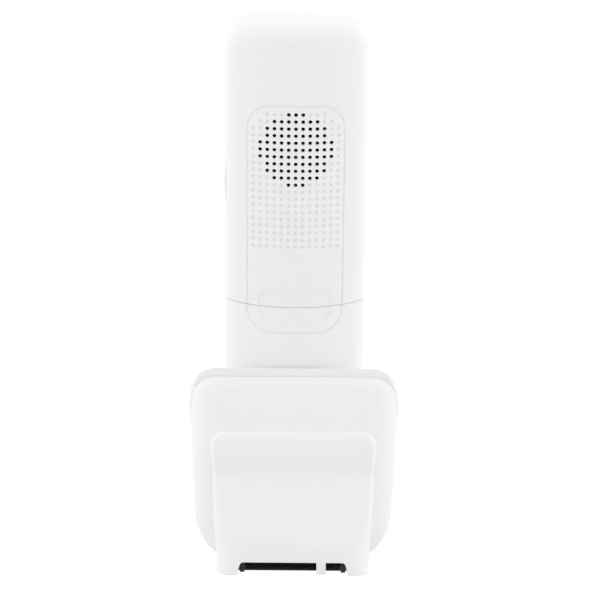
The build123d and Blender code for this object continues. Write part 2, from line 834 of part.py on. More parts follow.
with BuildPart() as base_front_housing:
    add(base_solid.part)
    add(base_inside - pocket_form(pocket_clearance + base_wall), mode=Mode.SUBTRACT)
    with BuildSketch(floor_plane.offset(base_floor)):
        with Locations(*base_boss_places):
            RegularPolygon(boss_diameter / 2, boss_sides)
    extrude(amount=seat_height + pocket_clearance + base_wall - base_floor)
    add(pocket_form(pocket_clearance), mode=Mode.SUBTRACT)
    with BuildSketch(section_plane):
        with Locations(*pad_places):
            Rectangle(
                contact_pin_width + 2 * key_clearance, contact_pin_depth + 2 * key_clearance
            )
    extrude(amount=-2 * base_wall, mode=Mode.SUBTRACT)
    split(bisect_by=at_depth(seam_depth - shell_gap), keep=Keep.TOP)
    split(bisect_by=floor_plane.offset(plate_top), keep=Keep.TOP)
base_front_housing.part.label = "base_front_housing"

with BuildPart() as notch:
    with BuildSketch(back_plane):
        with BuildLine():
            FilletPolyline(
                (0, notch_height), (notch_width / 2, notch_height), (notch_width / 2, 0),
                radius=notch_corner_radius,
            )
            Polyline((notch_width / 2, 0), (0, 0), (0, notch_height))
        make_face()
        mirror(about=Plane.YZ)
    extrude(amount=-2 * stand_back)

with BuildPart() as base_rear_cover:
    add(base_solid.part)
    split(bisect_by=floor_plane.offset(plate_top), keep=Keep.TOP)
    add(stand_form())
    add(base_inside, mode=Mode.SUBTRACT)
    add(stand_cavity(), mode=Mode.SUBTRACT)
    add(notch.part, mode=Mode.SUBTRACT)
    with BuildSketch(at_depth(seam_depth)):
        Rectangle(2 * base_width, 4 * base_width)
    extrude(amount=2 * base_width, mode=Mode.SUBTRACT)
    with BuildSketch(floor_plane.offset(cord_tab_bottom)):
        with Locations((cord_tab_x, stand_back - cord_tab_depth / 2)):
            Rectangle(cord_tab_width, cord_tab_depth)
    extrude(amount=notch_height + base_wall / 2 - cord_tab_bottom)
    with BuildSketch(floor_plane.offset(leg_bottom)):
        with Locations(*[(x * back_pad_x, back_pad_y) for x in (-1, 1)]):
            Rectangle(pad_width + 2 * pad_clearance, pad_length + 2 * pad_clearance)
    extrude(amount=pad_thickness - leg_bottom, mode=Mode.SUBTRACT)
base_rear_cover.part.label = "base_rear_cover"

tray_half = notch_width / 2 - seat_gap
tray_back = stand_back - base_wall - tray_back_room
with BuildPart() as base_plate:
    add(base_solid.part)
    split(bisect_by=floor_plane.offset(plate_top), keep=Keep.BOTTOM)
    split(
        bisect_by=Plane(origin=(0, seat_y + stand_front - seat_gap, 0), z_dir=(0, 1, 0)), keep=Keep.BOTTOM
    )
    with BuildSketch(floor_plane.offset(base_floor)):
        with Locations((0, (tray_front + tray_back) / 2)):
            Rectangle(2 * tray_half, tray_back - tray_front)
    extrude(amount=tray_ceiling + tray_wall - base_floor)
    with BuildSketch(floor_plane):
        with Locations((0, (tray_front + tray_back) / 2)):
            Rectangle(2 * (tray_half - tray_wall), tray_back - tray_front - 2 * tray_wall)
    extrude(amount=tray_ceiling, mode=Mode.SUBTRACT)
    with BuildSketch(floor_plane):
        with Locations((0, tray_back)):
            Rectangle(2 * (tray_half - tray_wall), 4 * tray_wall)
    extrude(amount=notch_height + seat_gap, mode=Mode.SUBTRACT)
    with BuildSketch(floor_plane.offset(base_floor)):
        with Locations(*[(x * front_pad_x, front_pad_y) for x in (-1, 1)]):
            Rectangle(pad_width + 2 * pad_clearance, pad_length + 2 * pad_clearance)
    extrude(amount=pad_thickness - base_floor, mode=Mode.SUBTRACT)
base_plate.part.label = "base_plate"

with BuildPart() as rubber_feet:
    with BuildSketch(floor_plane):
        with Locations(*[(x * front_pad_x, front_pad_y) for x in (-1, 1)]):
            Rectangle(pad_width, pad_length)
        with Locations(*[(x * back_pad_x, back_pad_y) for x in (-1, 1)]):
            Rectangle(pad_width, pad_length)
    extrude(amount=pad_thickness)
rubber_feet.part.label = "rubber_feet"

with BuildPart() as ballast_weight:
    with BuildSketch(floor_plane.offset(plate_top)):
        with Locations((0, ballast_y)):
            Rectangle(ballast_length, ballast_width)
    extrude(amount=ballast_thickness)
ballast_weight.part.label = "ballast_weight"

with BuildPart() as power_jack:
    with BuildSketch(floor_plane.offset(tray_ceiling - power_jack_height)):
        with Locations((power_jack_x, tray_front + tray_wall + power_jack_length / 2)):
            Rectangle(power_jack_width, power_jack_length)
    extrude(amount=power_jack_height)
    jack_mouth = Plane(
        origin=(power_jack_x, seat_y + tray_front + tray_wall + power_jack_length,
                tray_ceiling - power_jack_height / 2),
        z_dir=(0, 1, 0),
    )
    with BuildSketch(jack_mouth):
        Circle(power_jack_bore / 2)
        Circle(power_jack_pin / 2, mode=Mode.SUBTRACT)
    extrude(amount=-power_jack_length + tray_wall, mode=Mode.SUBTRACT)
power_jack.part.label = "power_jack"

with BuildPart() as line_jack:
    with BuildSketch(floor_plane.offset(tray_ceiling - line_jack_height)):
        with Locations((line_jack_x, tray_front + tray_wall + line_jack_length / 2)):
            Rectangle(line_jack_width, line_jack_length)
    extrude(amount=line_jack_height)
    port_mouth = Plane(
        origin=(line_jack_x, seat_y + tray_front + tray_wall + line_jack_length,
                tray_ceiling - line_jack_height / 2),
        x_dir=across,
        z_dir=(0, 1, 0),
    )
    with BuildSketch(port_mouth):
        Rectangle(line_port_width, line_port_height)
    extrude(amount=-line_jack_length + tray_wall, mode=Mode.SUBTRACT)
line_jack.part.label = "line_jack"

with BuildPart() as base_board:
    with BuildSketch(floor_plane.offset(tray_ceiling + tray_wall)):
        with Locations((0, tray_front + seat_gap + base_board_width / 2 + board_front_room)):
            Rectangle(base_board_length, base_board_width)
    extrude(amount=board_thickness)
base_board.part.label = "base_board"

pins = {}
for pin_name, place in zip(("contact_pin_left", "contact_pin_right"), pad_places):
    with BuildPart() as pin:
        with BuildSketch(section_plane.offset(-contact_pin_gap)):
            with Locations(place):
                Rectangle(contact_pin_width, contact_pin_depth)
        extrude(amount=-contact_pin_length)
        with BuildSketch(section_plane.offset(-pocket_clearance - base_wall - seat_gap)):
            with Locations(place):
                Rectangle(contact_pin_width + 2 * contact_pin_lip, contact_pin_depth + 2 * contact_pin_lip)
        extrude(amount=-contact_pin_lip_thickness)
    pin.part.label = pin_name
    pins[pin_name] = pin

# ---------------------------------------------------------------- output
pieces = [
    handset_front_housing, handset_rear_housing, battery_door, display_window, display_module,
    earpiece_receiver, microphone, main_board, keypad_membrane, antenna, rear_loudspeaker, speaker_cloth,
    *cells.values(), battery_contacts, handset_charge_pads, volume_rocker,
    *keys.values(), navigation_ring, centre_key, base_front_housing, base_rear_cover, base_plate,
    rubber_feet, ballast_weight, power_jack, line_jack, base_board, *pins.values(),
]
for piece in pieces:
    export_step(piece.part, f"parts/{piece.part.label}.step")
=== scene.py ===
"""Cordless handset in its base, dressed and set in a white studio tent.

Laid out as a Blender add-on: settings in property groups, one operator for each group of pieces and one
for the stage, and a sidebar panel. The property groups hold lengths in metres; everything else counts in
millimetres, in local frames, and meshes are turned into the part's frame, in metres, as they are made.
"""
import json
from contextlib import contextmanager
from math import cos, pi, radians, sin, sqrt, tan
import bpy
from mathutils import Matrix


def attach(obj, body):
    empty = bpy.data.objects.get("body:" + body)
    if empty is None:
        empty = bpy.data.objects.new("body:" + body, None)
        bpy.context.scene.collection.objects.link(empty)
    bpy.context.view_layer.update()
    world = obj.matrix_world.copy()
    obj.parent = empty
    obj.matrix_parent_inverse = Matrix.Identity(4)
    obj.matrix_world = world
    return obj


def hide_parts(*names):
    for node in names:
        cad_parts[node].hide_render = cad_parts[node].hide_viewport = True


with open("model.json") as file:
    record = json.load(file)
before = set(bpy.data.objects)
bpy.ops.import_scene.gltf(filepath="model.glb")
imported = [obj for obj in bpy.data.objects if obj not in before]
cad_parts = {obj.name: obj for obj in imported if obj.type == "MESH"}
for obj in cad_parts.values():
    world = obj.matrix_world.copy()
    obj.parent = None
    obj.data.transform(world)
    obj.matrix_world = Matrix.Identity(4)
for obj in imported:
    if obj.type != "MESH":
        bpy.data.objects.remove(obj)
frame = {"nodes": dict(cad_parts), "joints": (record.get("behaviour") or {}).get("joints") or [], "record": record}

from types import SimpleNamespace

import bmesh
import bpy
import numpy as np
from bpy.props import FloatProperty, FloatVectorProperty, IntProperty, PointerProperty
from mathutils import Matrix, Vector

bl_info = {
    "name": "Cordless Phone Dressing",
    "version": (1, 0, 0),
    "blender": (4, 5, 0),
    "location": "View3D > Sidebar > Phone",
    "description": "Builds the fine shells, keys, materials and stage round the packed cordless phone",
    "category": "Object",
}

MM = 0.001


# ---------------------------------------------------------------- settings
def length(name, description, millimetres):
    """A setting for a length, stated in millimetres and held in metres."""
    return FloatProperty(name=name, description=description, default=millimetres * MM, unit="LENGTH")


class HandsetSettings(bpy.types.PropertyGroup):
    corner_radius: length("Corner radius", "Radius of the outline's corners", 9.0)
    crown_radius: length("Crown radius", "Radius of the back, across", 40.0)
    edge_radius: length("Back edge radius", "Radius of the edge between sides and back", 7.5)
    front_edge: length("Front edge", "Bevel round the front face", 1.8)
    wall: length("Wall", "Thickness of the housings", 1.5)
    parting: length("Parting", "Depth of the housings' joint from mid-depth", -3.0)
    seam: length("Seam width", "Width of the line between the housings", 0.16)
    door_top: length("Door top", "Height of the door's upper seam", 81.6)
    door_side: length("Door side", "Depth of the door's side seams from mid-depth", 3.5)
    door_gap: length("Door gap", "Width of the door's seams", 0.17)
    door_rise: length("Door seam rise", "How far the seam curves up at its ends", 0.7)
    recess_low: length("Recess foot", "Height of the thumb recess's lower edge", 76.7)
    recess_width: length("Recess width", "Width of the thumb recess", 25.0)
    recess_height: length("Recess height", "Height of the thumb recess", 11.0)
    recess_depth: length("Recess depth", "Depth of the thumb recess", 0.35)


class PanelSettings(bpy.types.PropertyGroup):
    bottom: length("Bottom", "Height of the textured panel's lower edge", 72.6)
    width: length("Width", "Width of the textured panel", 32.8)
    height: length("Height", "Height of the textured panel", 79.2)
    top_radius: length("Top radius", "Radius of its upper corners", 8.0)
    bottom_radius: length("Bottom radius", "Radius of its lower corners", 8.4)
    line_width: length("Line width", "Width of the line round the panel", 0.45)
    line_depth: length("Line depth", "Depth of the line round the panel", 0.3)
    first_row: length("First row", "Height of the highest holes", 149.0)
    pitch: length("Pitch", "Spacing of holes and dimples", 2.4)
    hole: length("Hole", "Diameter of a hole", 1.35)
    dimple: length("Dimple", "Diameter of a dimple", 1.42)
    dimple_depth: length("Dimple depth", "Depth of a dimple", 0.78)
    rows: IntProperty(name="Rows", description="Rows of holes and dimples", default=20)
    columns: IntProperty(name="Columns", description="Columns of holes and dimples", default=13)


class KeySettings(bpy.types.PropertyGroup):
    gap: length("Gap", "Room round a key, the window or the rocker", 0.3)
    corner: length("Corner radius", "Radius of a cap's corners", 1.7)
    crown_radius: length("Crown radius", "Radius of a cap's top, across", 40.0)
    edge: length("Edge radius", "Radius of a cap's upper edge", 0.7)
    ring_hole: length("Ring hole", "Diameter of the ring's middle", 9.6)
    rocker_crown: length("Rocker crown", "Radius of the rocker's top, upwards", 70.0)
    digit: length("Digits", "Size of the printed digits", 5.0)
    letter: length("Letters", "Size of the printed letters", 2.5)


class BaseSettings(bpy.types.PropertyGroup):
    width: length("Width", "Width beside the upper corners", 73.2)
    bottom: length("Bottom", "Height of the pod's underside", 0.8)
    top: length("Top", "Height of the pod's top", 71.2)
    top_radius: length("Top corner radius", "Radius of the upper corners", 9.5)
    bottom_radius: length("Bottom corner radius", "Radius of the lower corners", 20.0)
    edge_radius: length("Back edge radius", "Radius of the rolled edge round the back", 9.0)
    draft: FloatProperty(
        name="Draft", description="Angle by which the sides draw in downwards", default=radians(2.6),
        subtype="ANGLE")
    back: length("Back", "How far the back bows out behind the seat", 35.4)
    bow_radius: length("Bow radius", "Radius of the back, upwards", 103.0)
    bow_height: length("Bow height", "Height of the furthest point", 53.0)
    wall: length("Wall", "Thickness of the shells", 2.2)
    seam_depth: length("Seam depth", "From the docked handset's middle to the rear cover", 16.0)
    cover_bottom: length("Cover bottom", "Height of the cover's lower edge", 3.3)


class FootSettings(bpy.types.PropertyGroup):
    height: length("Height", "Height of the foot's top", 49.2)
    low_width: length("Lower width", "Width on the table", 52.6)
    high_width: length("Upper width", "Width under the shoulder", 57.6)
    corner: length("Corner radius", "Radius of the upright edges", 2.2)
    heel: length("Heel", "Growth of that radius down to the step", 5.5)
    shoulder: length("Shoulder radius", "Radius of the upper corners", 4.4)
    step_back: length("Step", "Back of the step behind the seat", 38.6)
    step_height: length("Step height", "Height of the step's edge", 10.5)
    waist_back: length("Waist", "Back of the waist behind the seat", 34.5)
    waist_height: length("Waist height", "Height of the waist", 35.2)
    waist_bend: length("Waist bend", "Half the height of its inner bend", 1.0)
    overhang_back: length("Overhang", "Back of the overhang behind the seat", 37.4)
    overhang_height: length("Overhang height", "Height of its furthest point", 46.5)
    notch_width: length("Notch width", "Width of the cord notch's top", 36.6)
    notch_height: length("Notch height", "Height of the cord notch", 4.6)
    notch_corner: length("Notch corner", "Radius of its upper corners", 1.4)


class LookSettings(bpy.types.PropertyGroup):
    white: FloatVectorProperty(
        name="White", description="Colour of the white plastic", size=3, default=(0.88, 0.88, 0.885),
        subtype="COLOR")
    tent: FloatProperty(
        name="Tent light", description="Brightness of the tent beside the object", default=2.0)
    tent_ends: FloatProperty(
        name="Tent ends", description="Brightness of the tent before and behind the object", default=0.86)
    tent_fall: FloatProperty(
        name="Tent fall", description="How much sooner the tent darkens towards its top", default=0.6)
    floor: FloatVectorProperty(
        name="Floor", description="Colour of the floor", size=3, default=(0.8, 0.8, 0.8), subtype="COLOR")
    floor_glow: FloatProperty(
        name="Floor glow", description="White that the floor adds to what is seen of it", default=0.55)
    top_light: FloatProperty(
        name="Top light", description="Power of the light above", default=0.0, unit="POWER")
    side_light: FloatProperty(
        name="Side lights", description="Power of the lights beside", default=0.0, unit="POWER")


class StageSettings(bpy.types.PropertyGroup):
    lens: FloatProperty(name="Lens", description="Focal length", default=110.8, unit="CAMERA")
    distance: length("Distance", "From the handset's seat to the camera", 672.9)
    height: length("Height", "Height of the camera above the table", 88.0)
    shift_x: FloatProperty(name="Shift X", description="Sideways shift of the lens", default=0.0092)
    shift_y: FloatProperty(name="Shift Y", description="Upward shift of the lens", default=0.0333)
    roll: FloatProperty(
        name="Roll", description="Roll of the camera", default=radians(0.45), subtype="ANGLE")


def own_properties(group):
    """The settings that a group adds to what every property group has."""
    return [prop for prop in group.bl_rna.properties if prop.identifier not in ("rna_type", "name")]


def in_millimetres(group):
    """A group's settings as plain values, with its lengths in millimetres."""
    values = {}
    for prop in own_properties(group):
        value = getattr(group, prop.identifier)
        # rounded, because a setting is held in single precision
        values[prop.identifier] = round(value / MM, 4) if prop.unit == "LENGTH" else value
    return SimpleNamespace(**values)


# ---------------------------------------------------------------- places read from the frame
def node_points(*names):
    """The vertices of CAD nodes, in millimetres in the part's frame."""
    points = [v.co[:] for name in names for v in frame["nodes"][name].data.vertices]
    return np.array(points) / MM


def lift_axis():
    """The direction up the handset, which its lift joint states."""
    joint = next(j for j in frame["joints"] if j["name"] == "handset_lift")
    return Vector(joint["axis"]).normalized()


def along(points, direction):
    """How far points lie along a direction."""
    return points @ np.array(direction)


UP = lift_axis()
ACROSS = Vector((1, 0, 0))
BACK = UP.cross(ACROSS)

HOUSINGS = node_points("handset_front_housing", "handset_rear_housing", "battery_door")
HANDSET_LOW = along(HOUSINGS, UP).min()
HANDSET_LENGTH = along(HOUSINGS, UP).max() - HANDSET_LOW
HANDSET_FRONT = along(HOUSINGS, BACK).min()
HANDSET_DEPTH = along(HOUSINGS, BACK).max() - HANDSET_FRONT
HANDSET_WIDTH = np.ptp(HOUSINGS[:, 0])
SEAT = UP * HANDSET_LOW + BACK * (HANDSET_FRONT + HANDSET_DEPTH / 2)


def local_frame(origin, x, y, z):
    """The matrix from a local frame in millimetres to the part's frame in metres."""
    return Matrix(
        [[x[i] * MM, y[i] * MM, z[i] * MM, origin[i] * MM] for i in range(3)] + [[0, 0, 0, 1]]
    )


# x across, y towards the back, z up the handset
HANDSET = local_frame(SEAT, ACROSS, BACK, UP)
# the same place seen from the keys' side: x across, y towards the keys
FACE = local_frame(SEAT, -ACROSS, -BACK, UP)
# the same place seen from the rocker's side: x towards the keys, y across
SIDE = local_frame(SEAT, -BACK, ACROSS, UP)
# x across, y backwards, z up from the table, under the handset's seat
TABLE = local_frame(Vector((0, SEAT.y, 0)), ACROSS, Vector((0, 1, 0)), Vector((0, 0, 1)))

# further than anything of the phone, for tools that cut it in two
FAR = 250


# ---------------------------------------------------------------- meshes
@contextmanager
def edited(mesh):
    """A mesh's faces and vertices, open for changes."""
    shell = bmesh.new()
    shell.from_mesh(mesh)
    yield shell
    shell.to_mesh(mesh)
    shell.free()


def shade(mesh, angle):
    """Shades a mesh smooth, but for edges sharper than an angle in degrees."""
    mesh.shade_smooth()
    mesh.set_sharp_from_angle(angle=radians(angle))


def new_object(name, data):
    """An object in the scene, for its data."""
    made = bpy.data.objects.new(name, data)
    bpy.context.scene.collection.objects.link(made)
    return made


def baked(source):
    """A new mesh of an object as its modifiers or its curves make it."""
    bpy.context.view_layer.update()
    graph = bpy.context.evaluated_depsgraph_get()
    return bpy.data.meshes.new_from_object(source.evaluated_get(graph))


def make_object(name, verts, faces, place, smooth=35):
    """A mesh object from vertices in a local frame, with its normals outwards."""
    mesh = bpy.data.meshes.new(name)
    mesh.from_pydata([tuple(v) for v in verts], [], faces)
    mesh.transform(place)
    with edited(mesh) as shell:
        bmesh.ops.recalc_face_normals(shell, faces=shell.faces)
    shade(mesh, smooth)
    return new_object(name, mesh)


def boolean(target, tool, operation="DIFFERENCE", smooth=35):
    """Cuts or joins a tool into target, exactly, and removes the tool."""
    step = target.modifiers.new("step", "BOOLEAN")
    step.operation = operation
    step.solver = "EXACT"
    step.object = tool
    mesh = baked(target)
    target.modifiers.clear()
    target.data = mesh
    shade(mesh, smooth)
    bpy.data.objects.remove(tool)
    return target


def band(first, second, count):
    """The quads between two closed rings of vertices, which start at two indices."""
    return [
        [first + i, first + (i + 1) % count, second + (i + 1) % count, second + i]
        for i in range(count)
    ]


def stacked(count, rings, first=0, closed=True):
    """The faces of a stack of rings of vertices: its first end, its last end if closed, its sides."""
    faces = [list(range(first, first + count))]
    last = first + (rings - 1) * count
    if closed:
        faces.append(list(range(last, last + count)))
    for start in range(first, last, count):
        faces += band(start, start + count, count)
    return faces


def arc(x, y, radius, start, end, steps):
    """Points along an arc about (x, y), both ends among them."""
    return [(x + radius * cos(t), y + radius * sin(t)) for t in np.linspace(start, end, steps)]


def prism(name, points, low, high, place, axis=1):
    """A straight prism over an outline, from low to high along an axis of the local frame."""
    def lay(point, level):
        full = list(point)
        full.insert(axis, level)
        return full

    count = len(points)
    verts = [lay(p, low) for p in points] + [lay(p, high) for p in points]
    return make_object(name, verts, stacked(count, 2), place)


def box(name, low, high, place):
    outline = [(low[0], low[2]), (high[0], low[2]), (high[0], high[2]), (low[0], high[2])]
    return prism(name, outline, low[1], high[1], place)


def rim_loop(half, low, high, low_radius, high_radius, steps, draft=0.0):
    """A rounded outline's points and outward normals, clockwise, and its counts of side and end steps.

    It starts at the middle of an upper corner. half is the half width beside the upper corners' centres,
    draft draws the sides in downwards, and steps are those of half a corner, of a side and of an end.
    """
    arc_steps, side_steps, end_steps = steps
    drawn_in = (high - low - high_radius - low_radius) * tan(draft)
    upper = half - high_radius / cos(draft)
    lower = half - drawn_in - low_radius / cos(draft)
    corners = [
        (upper, high - high_radius, high_radius),
        (lower, low + low_radius, low_radius),
        (-lower, low + low_radius, low_radius),
        (-upper, high - high_radius, high_radius),
    ]
    levels = [-draft, -pi / 2, draft - pi, -1.5 * pi]
    points, normals = [], []

    def half_corner(u, v, radius, start, end):
        for t in np.linspace(start, end, arc_steps, endpoint=False):
            normals.append((cos(t), sin(t)))
            points.append((u + radius * cos(t), v + radius * sin(t)))

    for k in range(4):
        u1, v1, r1 = corners[k]
        u2, v2, r2 = corners[(k + 1) % 4]
        straight = side_steps if k % 2 == 0 else end_steps
        level = levels[k]
        before = levels[k - 1] + (0 if k else 2 * pi)
        after = levels[(k + 1) % 4] - (2 * pi if k == 3 else 0)
        flat = np.array([cos(level), sin(level)])
        half_corner(u1, v1, r1, (before + level) / 2, level)
        start = np.array([u1, v1]) + r1 * flat
        end = np.array([u2, v2]) + r2 * flat
        for t in np.linspace(0, 1, straight, endpoint=False):
            normals.append(tuple(flat))
            points.append(tuple(start + t * (end - start)))
        half_corner(u2, v2, r2, level, (level + after) / 2)
    return np.array(points), np.array(normals), 2 * arc_steps + side_steps, 2 * arc_steps + end_steps


def slerp(a, b, t):
    """Unit vectors turned from a towards b by a share t of the angle between them."""
    angle = np.arccos(np.clip((a * b).sum(axis=1), -1, 1))[:, None]
    angle = np.maximum(angle, 1e-6)
    return (np.sin((1 - t) * angle) * a + np.sin(t * angle) * b) / np.sin(angle)


def crowned_body(name, loop, front, bevel, crown, ball, place, smooth=35):
    """A closed body with a bevelled flat front and a crowned back, joined by a rolling ball's edge.

    crown is (centre depth, radius, axis the crown curves along: 0 across or 1 upwards, its middle there).
    """
    points, normals, sides, ends = loop
    centre_depth, radius, curved, middle = crown
    count = len(points)

    def ring(flat, depth):
        depth = np.broadcast_to(depth, (len(flat),))
        return np.column_stack([flat[:, 0], depth, flat[:, 1]])

    def crown_depth(flat):
        return centre_depth + np.sqrt(radius**2 - (flat[:, curved] - middle) ** 2)

    # the ball rolls inside the outline and under the crown, and touches both
    balls = points - ball * normals
    offset = (balls[:, curved] - middle) / (radius - ball)
    outwards = np.column_stack([normals[:, 0], np.zeros(count), normals[:, 1]])
    rise = np.sqrt(1 - offset**2)
    backwards = np.zeros((count, 3))
    backwards[:, 1] = rise
    backwards[:, 2 * curved] = offset
    ball_centres = ring(balls, centre_depth + (radius - ball) * rise)
    rings = [ring(points - bevel * normals, front), ring(points, front + bevel)]
    rings += [ball_centres + ball * slerp(outwards, backwards, t) for t in np.linspace(0, 1, 9)]
    verts = [v for one in rings for v in one]
    faces = stacked(count, len(rings), closed=False)

    # the crown is a grid that blends the last ring's four sides
    last = (len(rings) - 1) * count
    contact = rings[-1][:, [0, 2]]
    at = {}
    for i in range(sides + 1):
        at[i, 0] = i
        at[i, ends] = 2 * sides + ends - i
    for j in range(ends + 1):
        at[0, j] = (count - j) % count
        at[sides, j] = sides + j
    grid = {key: last + index for key, index in at.items()}
    inner = []
    for i in range(1, sides):
        for j in range(1, ends):
            s, t = i / sides, j / ends
            point = (1 - t) * contact[at[i, 0]] + t * contact[at[i, ends]]
            point = point + (1 - s) * contact[at[0, j]] + s * contact[at[sides, j]]
            point = point - (1 - s) * ((1 - t) * contact[at[0, 0]] + t * contact[at[0, ends]])
            point = point - s * ((1 - t) * contact[at[sides, 0]] + t * contact[at[sides, ends]])
            grid[i, j] = len(verts) + len(inner)
            inner.append(point)
    inner = np.array(inner)
    verts += list(ring(inner, crown_depth(inner)))
    for i in range(sides):
        for j in range(ends):
            faces.append([grid[i, j], grid[i + 1, j], grid[i + 1, j + 1], grid[i, j + 1]])
    return make_object(name, verts, faces, place, smooth)


def rounded_outline(half, low, high, low_radius, high_radius, detail=8):
    """The points of a rounded rectangle, to cut with."""
    return rim_loop(half, low, high, low_radius, high_radius, (detail, 1, 1))[0]


def room_outline(span, gap, corner, detail):
    """The outline of a node's span with a gap all round it."""
    middle, half, _ = span
    width, height = half[0] + gap, half[2] + gap
    points = rounded_outline(width, -height, height, corner, corner, detail)
    return [(x + middle[0], z + middle[2]) for x, z in points]


def circle_outline(radius, height, sides=48):
    turns = [2 * pi * k / sides for k in range(sides)]
    return [(radius * cos(t), height + radius * sin(t)) for t in turns]


def slot_outline(length, width, height, steps=17):
    """A level slot with round ends."""
    radius = width / 2
    reach = length / 2 - radius
    right = arc(reach, height, radius, -pi / 2, pi / 2, steps)
    return right + arc(-reach, height, radius, pi / 2, 1.5 * pi, steps)


def turned(name, profile, place, sides=96):
    """A body turned about the local y axis from (radius, y) points."""
    count = len(profile)
    verts, faces = [], []
    for k in range(sides):
        turn = 2 * pi * k / sides
        verts += [(r * cos(turn), y, r * sin(turn)) for r, y in profile]
        faces += band(k * count, (k + 1) % sides * count, count)
    return make_object(name, verts, faces, place)


def node_span(node, place, near=0.3):
    """A CAD node's cap in a local frame: its middle and half sizes across and up, and its top."""
    inverse = place.inverted()
    points = np.array([inverse @ v.co for v in frame["nodes"][node].data.vertices])
    top = points[:, 1].max()
    cap = points[points[:, 1] > top - near]
    low, high = cap.min(axis=0), cap.max(axis=0)
    return (low + high) / 2, (high - low) / 2, top


def crown_normals(piece, place, crown, near=0.03, along_it=0.98):
    """Sets a crowned face's exact normals, so that the cuts in it leave no shading marks.

    near is how close a vertex stands to the crown, and along_it how well a face follows it.
    """
    centre_depth, radius, curved, middle = crown
    mesh = piece.data
    inverse = place.inverted()
    turn = place.to_3x3().normalized()
    centre = Vector((0, centre_depth, 0))
    centre[2 * curved] = middle
    normals = [Vector(corner.vector) for corner in mesh.corner_normals]
    for face in mesh.polygons:
        for loop in face.loop_indices:
            radial = inverse @ mesh.vertices[mesh.loops[loop].vertex_index].co - centre
            radial[2 - 2 * curved] = 0
            if abs(radial.length - radius) < near:
                exact = (turn @ radial).normalized()
                if exact.dot(face.normal) > along_it:
                    normals[loop] = exact
    mesh.normals_split_custom_set(normals)


# ---------------------------------------------------------------- materials
def fill(tree, node, values):
    """Sets a node's inputs to numbers and colours, or links them to other nodes' sockets."""
    for name, value in values.items():
        if isinstance(value, bpy.types.NodeSocket):
            tree.links.new(value, node.inputs[name])
        else:
            node.inputs[name].default_value = value
    return node


def add_node(tree, kind, values=None):
    """A new shader node with its inputs filled."""
    return fill(tree, tree.nodes.new("ShaderNode" + kind), values or {})


def plastic(name, colour, roughness=0.42, grain=0.012, scale=900.0):
    """A moulded plastic with a fine procedural grain in its surface and its gloss."""
    made = bpy.data.materials.new(name)
    made.use_nodes = True
    tree = made.node_tree
    place = add_node(tree, "TexCoord").outputs["Object"]
    noise = add_node(tree, "TexNoise", {"Vector": place, "Scale": scale, "Detail": 3.0}).outputs["Fac"]
    low, high = roughness - 0.05, roughness + 0.05
    spread = add_node(tree, "MapRange", {"Value": noise, "To Min": low, "To Max": high})
    bump = add_node(tree, "Bump", {"Strength": grain, "Distance": 0.2 * MM, "Height": noise})
    fill(tree, tree.nodes["Principled BSDF"], {
        "Base Color": (*colour, 1), "Specular IOR Level": 0.45, "IOR": 1.5,
        "Coat Weight": 0.0, "Sheen Weight": 0.0, "Subsurface Weight": 0.0,
        "Roughness": spread.outputs["Result"], "Normal": bump.outputs["Normal"],
    })
    return made


def metal(name, colour, roughness=0.3):
    made = plastic(name, colour, roughness=roughness, grain=0.03, scale=1500.0)
    fill(made.node_tree, made.node_tree.nodes["Principled BSDF"], {"Metallic": 1.0})


def make_materials(look):
    """The finishes of the pieces that are seen, and of those inside."""
    plastic("white_plastic", tuple(look.white), roughness=0.5)
    # near black; on the base plate it is partly the plate's own colour and partly painted shade for the dark
    # hollow seen through the cord notch
    plastic("black_plastic", (0.018, 0.018, 0.02), roughness=0.6)
    plastic("grey_plastic", (0.42, 0.43, 0.44), roughness=0.4)
    plastic("key_plastic", (0.72, 0.73, 0.74))
    plastic("talk_green", (0.10, 0.50, 0.22), roughness=0.4)
    plastic("off_red", (0.62, 0.09, 0.08), roughness=0.4)
    plastic("window", (0.02, 0.022, 0.024), roughness=0.08, grain=0.0)
    plastic("display", (0.16, 0.20, 0.18), roughness=0.25)
    plastic("rubber", (0.05, 0.05, 0.05), roughness=0.8)
    plastic("silicone", (0.6, 0.6, 0.58), roughness=0.6)
    plastic("board", (0.05, 0.25, 0.12), roughness=0.45)
    plastic("cell_sleeve", (0.12, 0.30, 0.45), roughness=0.3)
    plastic("cloth", (0.03, 0.03, 0.032), roughness=0.9, grain=0.3, scale=2500.0)
    plastic("legend", (0.05, 0.05, 0.055), roughness=0.5)
    metal("copper", (0.72, 0.45, 0.25))
    metal("steel", (0.7, 0.7, 0.7))
    metal("iron", (0.22, 0.22, 0.23), roughness=0.6)


def finish_piece(piece, body, slot, *nodes, material_name=None):
    """Gives a piece the material named by slot, or by material_name, attaches it to its body and hides the CAD
    nodes that it stands for.
    """
    piece.data.materials.clear()
    piece.data.materials.append(bpy.data.materials[material_name or slot])
    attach(piece, body)
    if nodes:
        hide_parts(*nodes)


def slots_of_nodes():
    return {part["node"]: part["material_slot"] for part in frame["record"]["subparts"]}


class PHONE_OT_finishes(bpy.types.Operator):
    """Makes the materials and gives every CAD node its own"""

    bl_idname = "phone.finishes"
    bl_label = "Finishes"

    def execute(self, context):
        make_materials(context.scene.phone_look)
        slots = slots_of_nodes()
        for name, node in frame["nodes"].items():
            node.data.materials.clear()
            node.data.materials.append(bpy.data.materials[slots[name]])
        return {"FINISHED"}


# ---------------------------------------------------------------- handset
KEYS = [f"key_{digit}" for digit in range(10)]
KEYS += ["key_star", "key_hash", "talk_key", "off_key", "soft_key_left", "soft_key_right"]

# how many holes each of the panel's upper rows has on each side of its middle one
GRILLE = (1, 3, 4, 4, 5, 5, 5, 4, 4, 3, 1)
# a dimple's section: shares of its radius, and depths as shares of its own
BOWL = ((1.0, 0.5), (1.0, 0.0), (0.8, -0.55), (0.45, -0.9))
# radii of the thumb recess's lower and upper corners
RECESS_CORNERS = (4.5, 3.0)
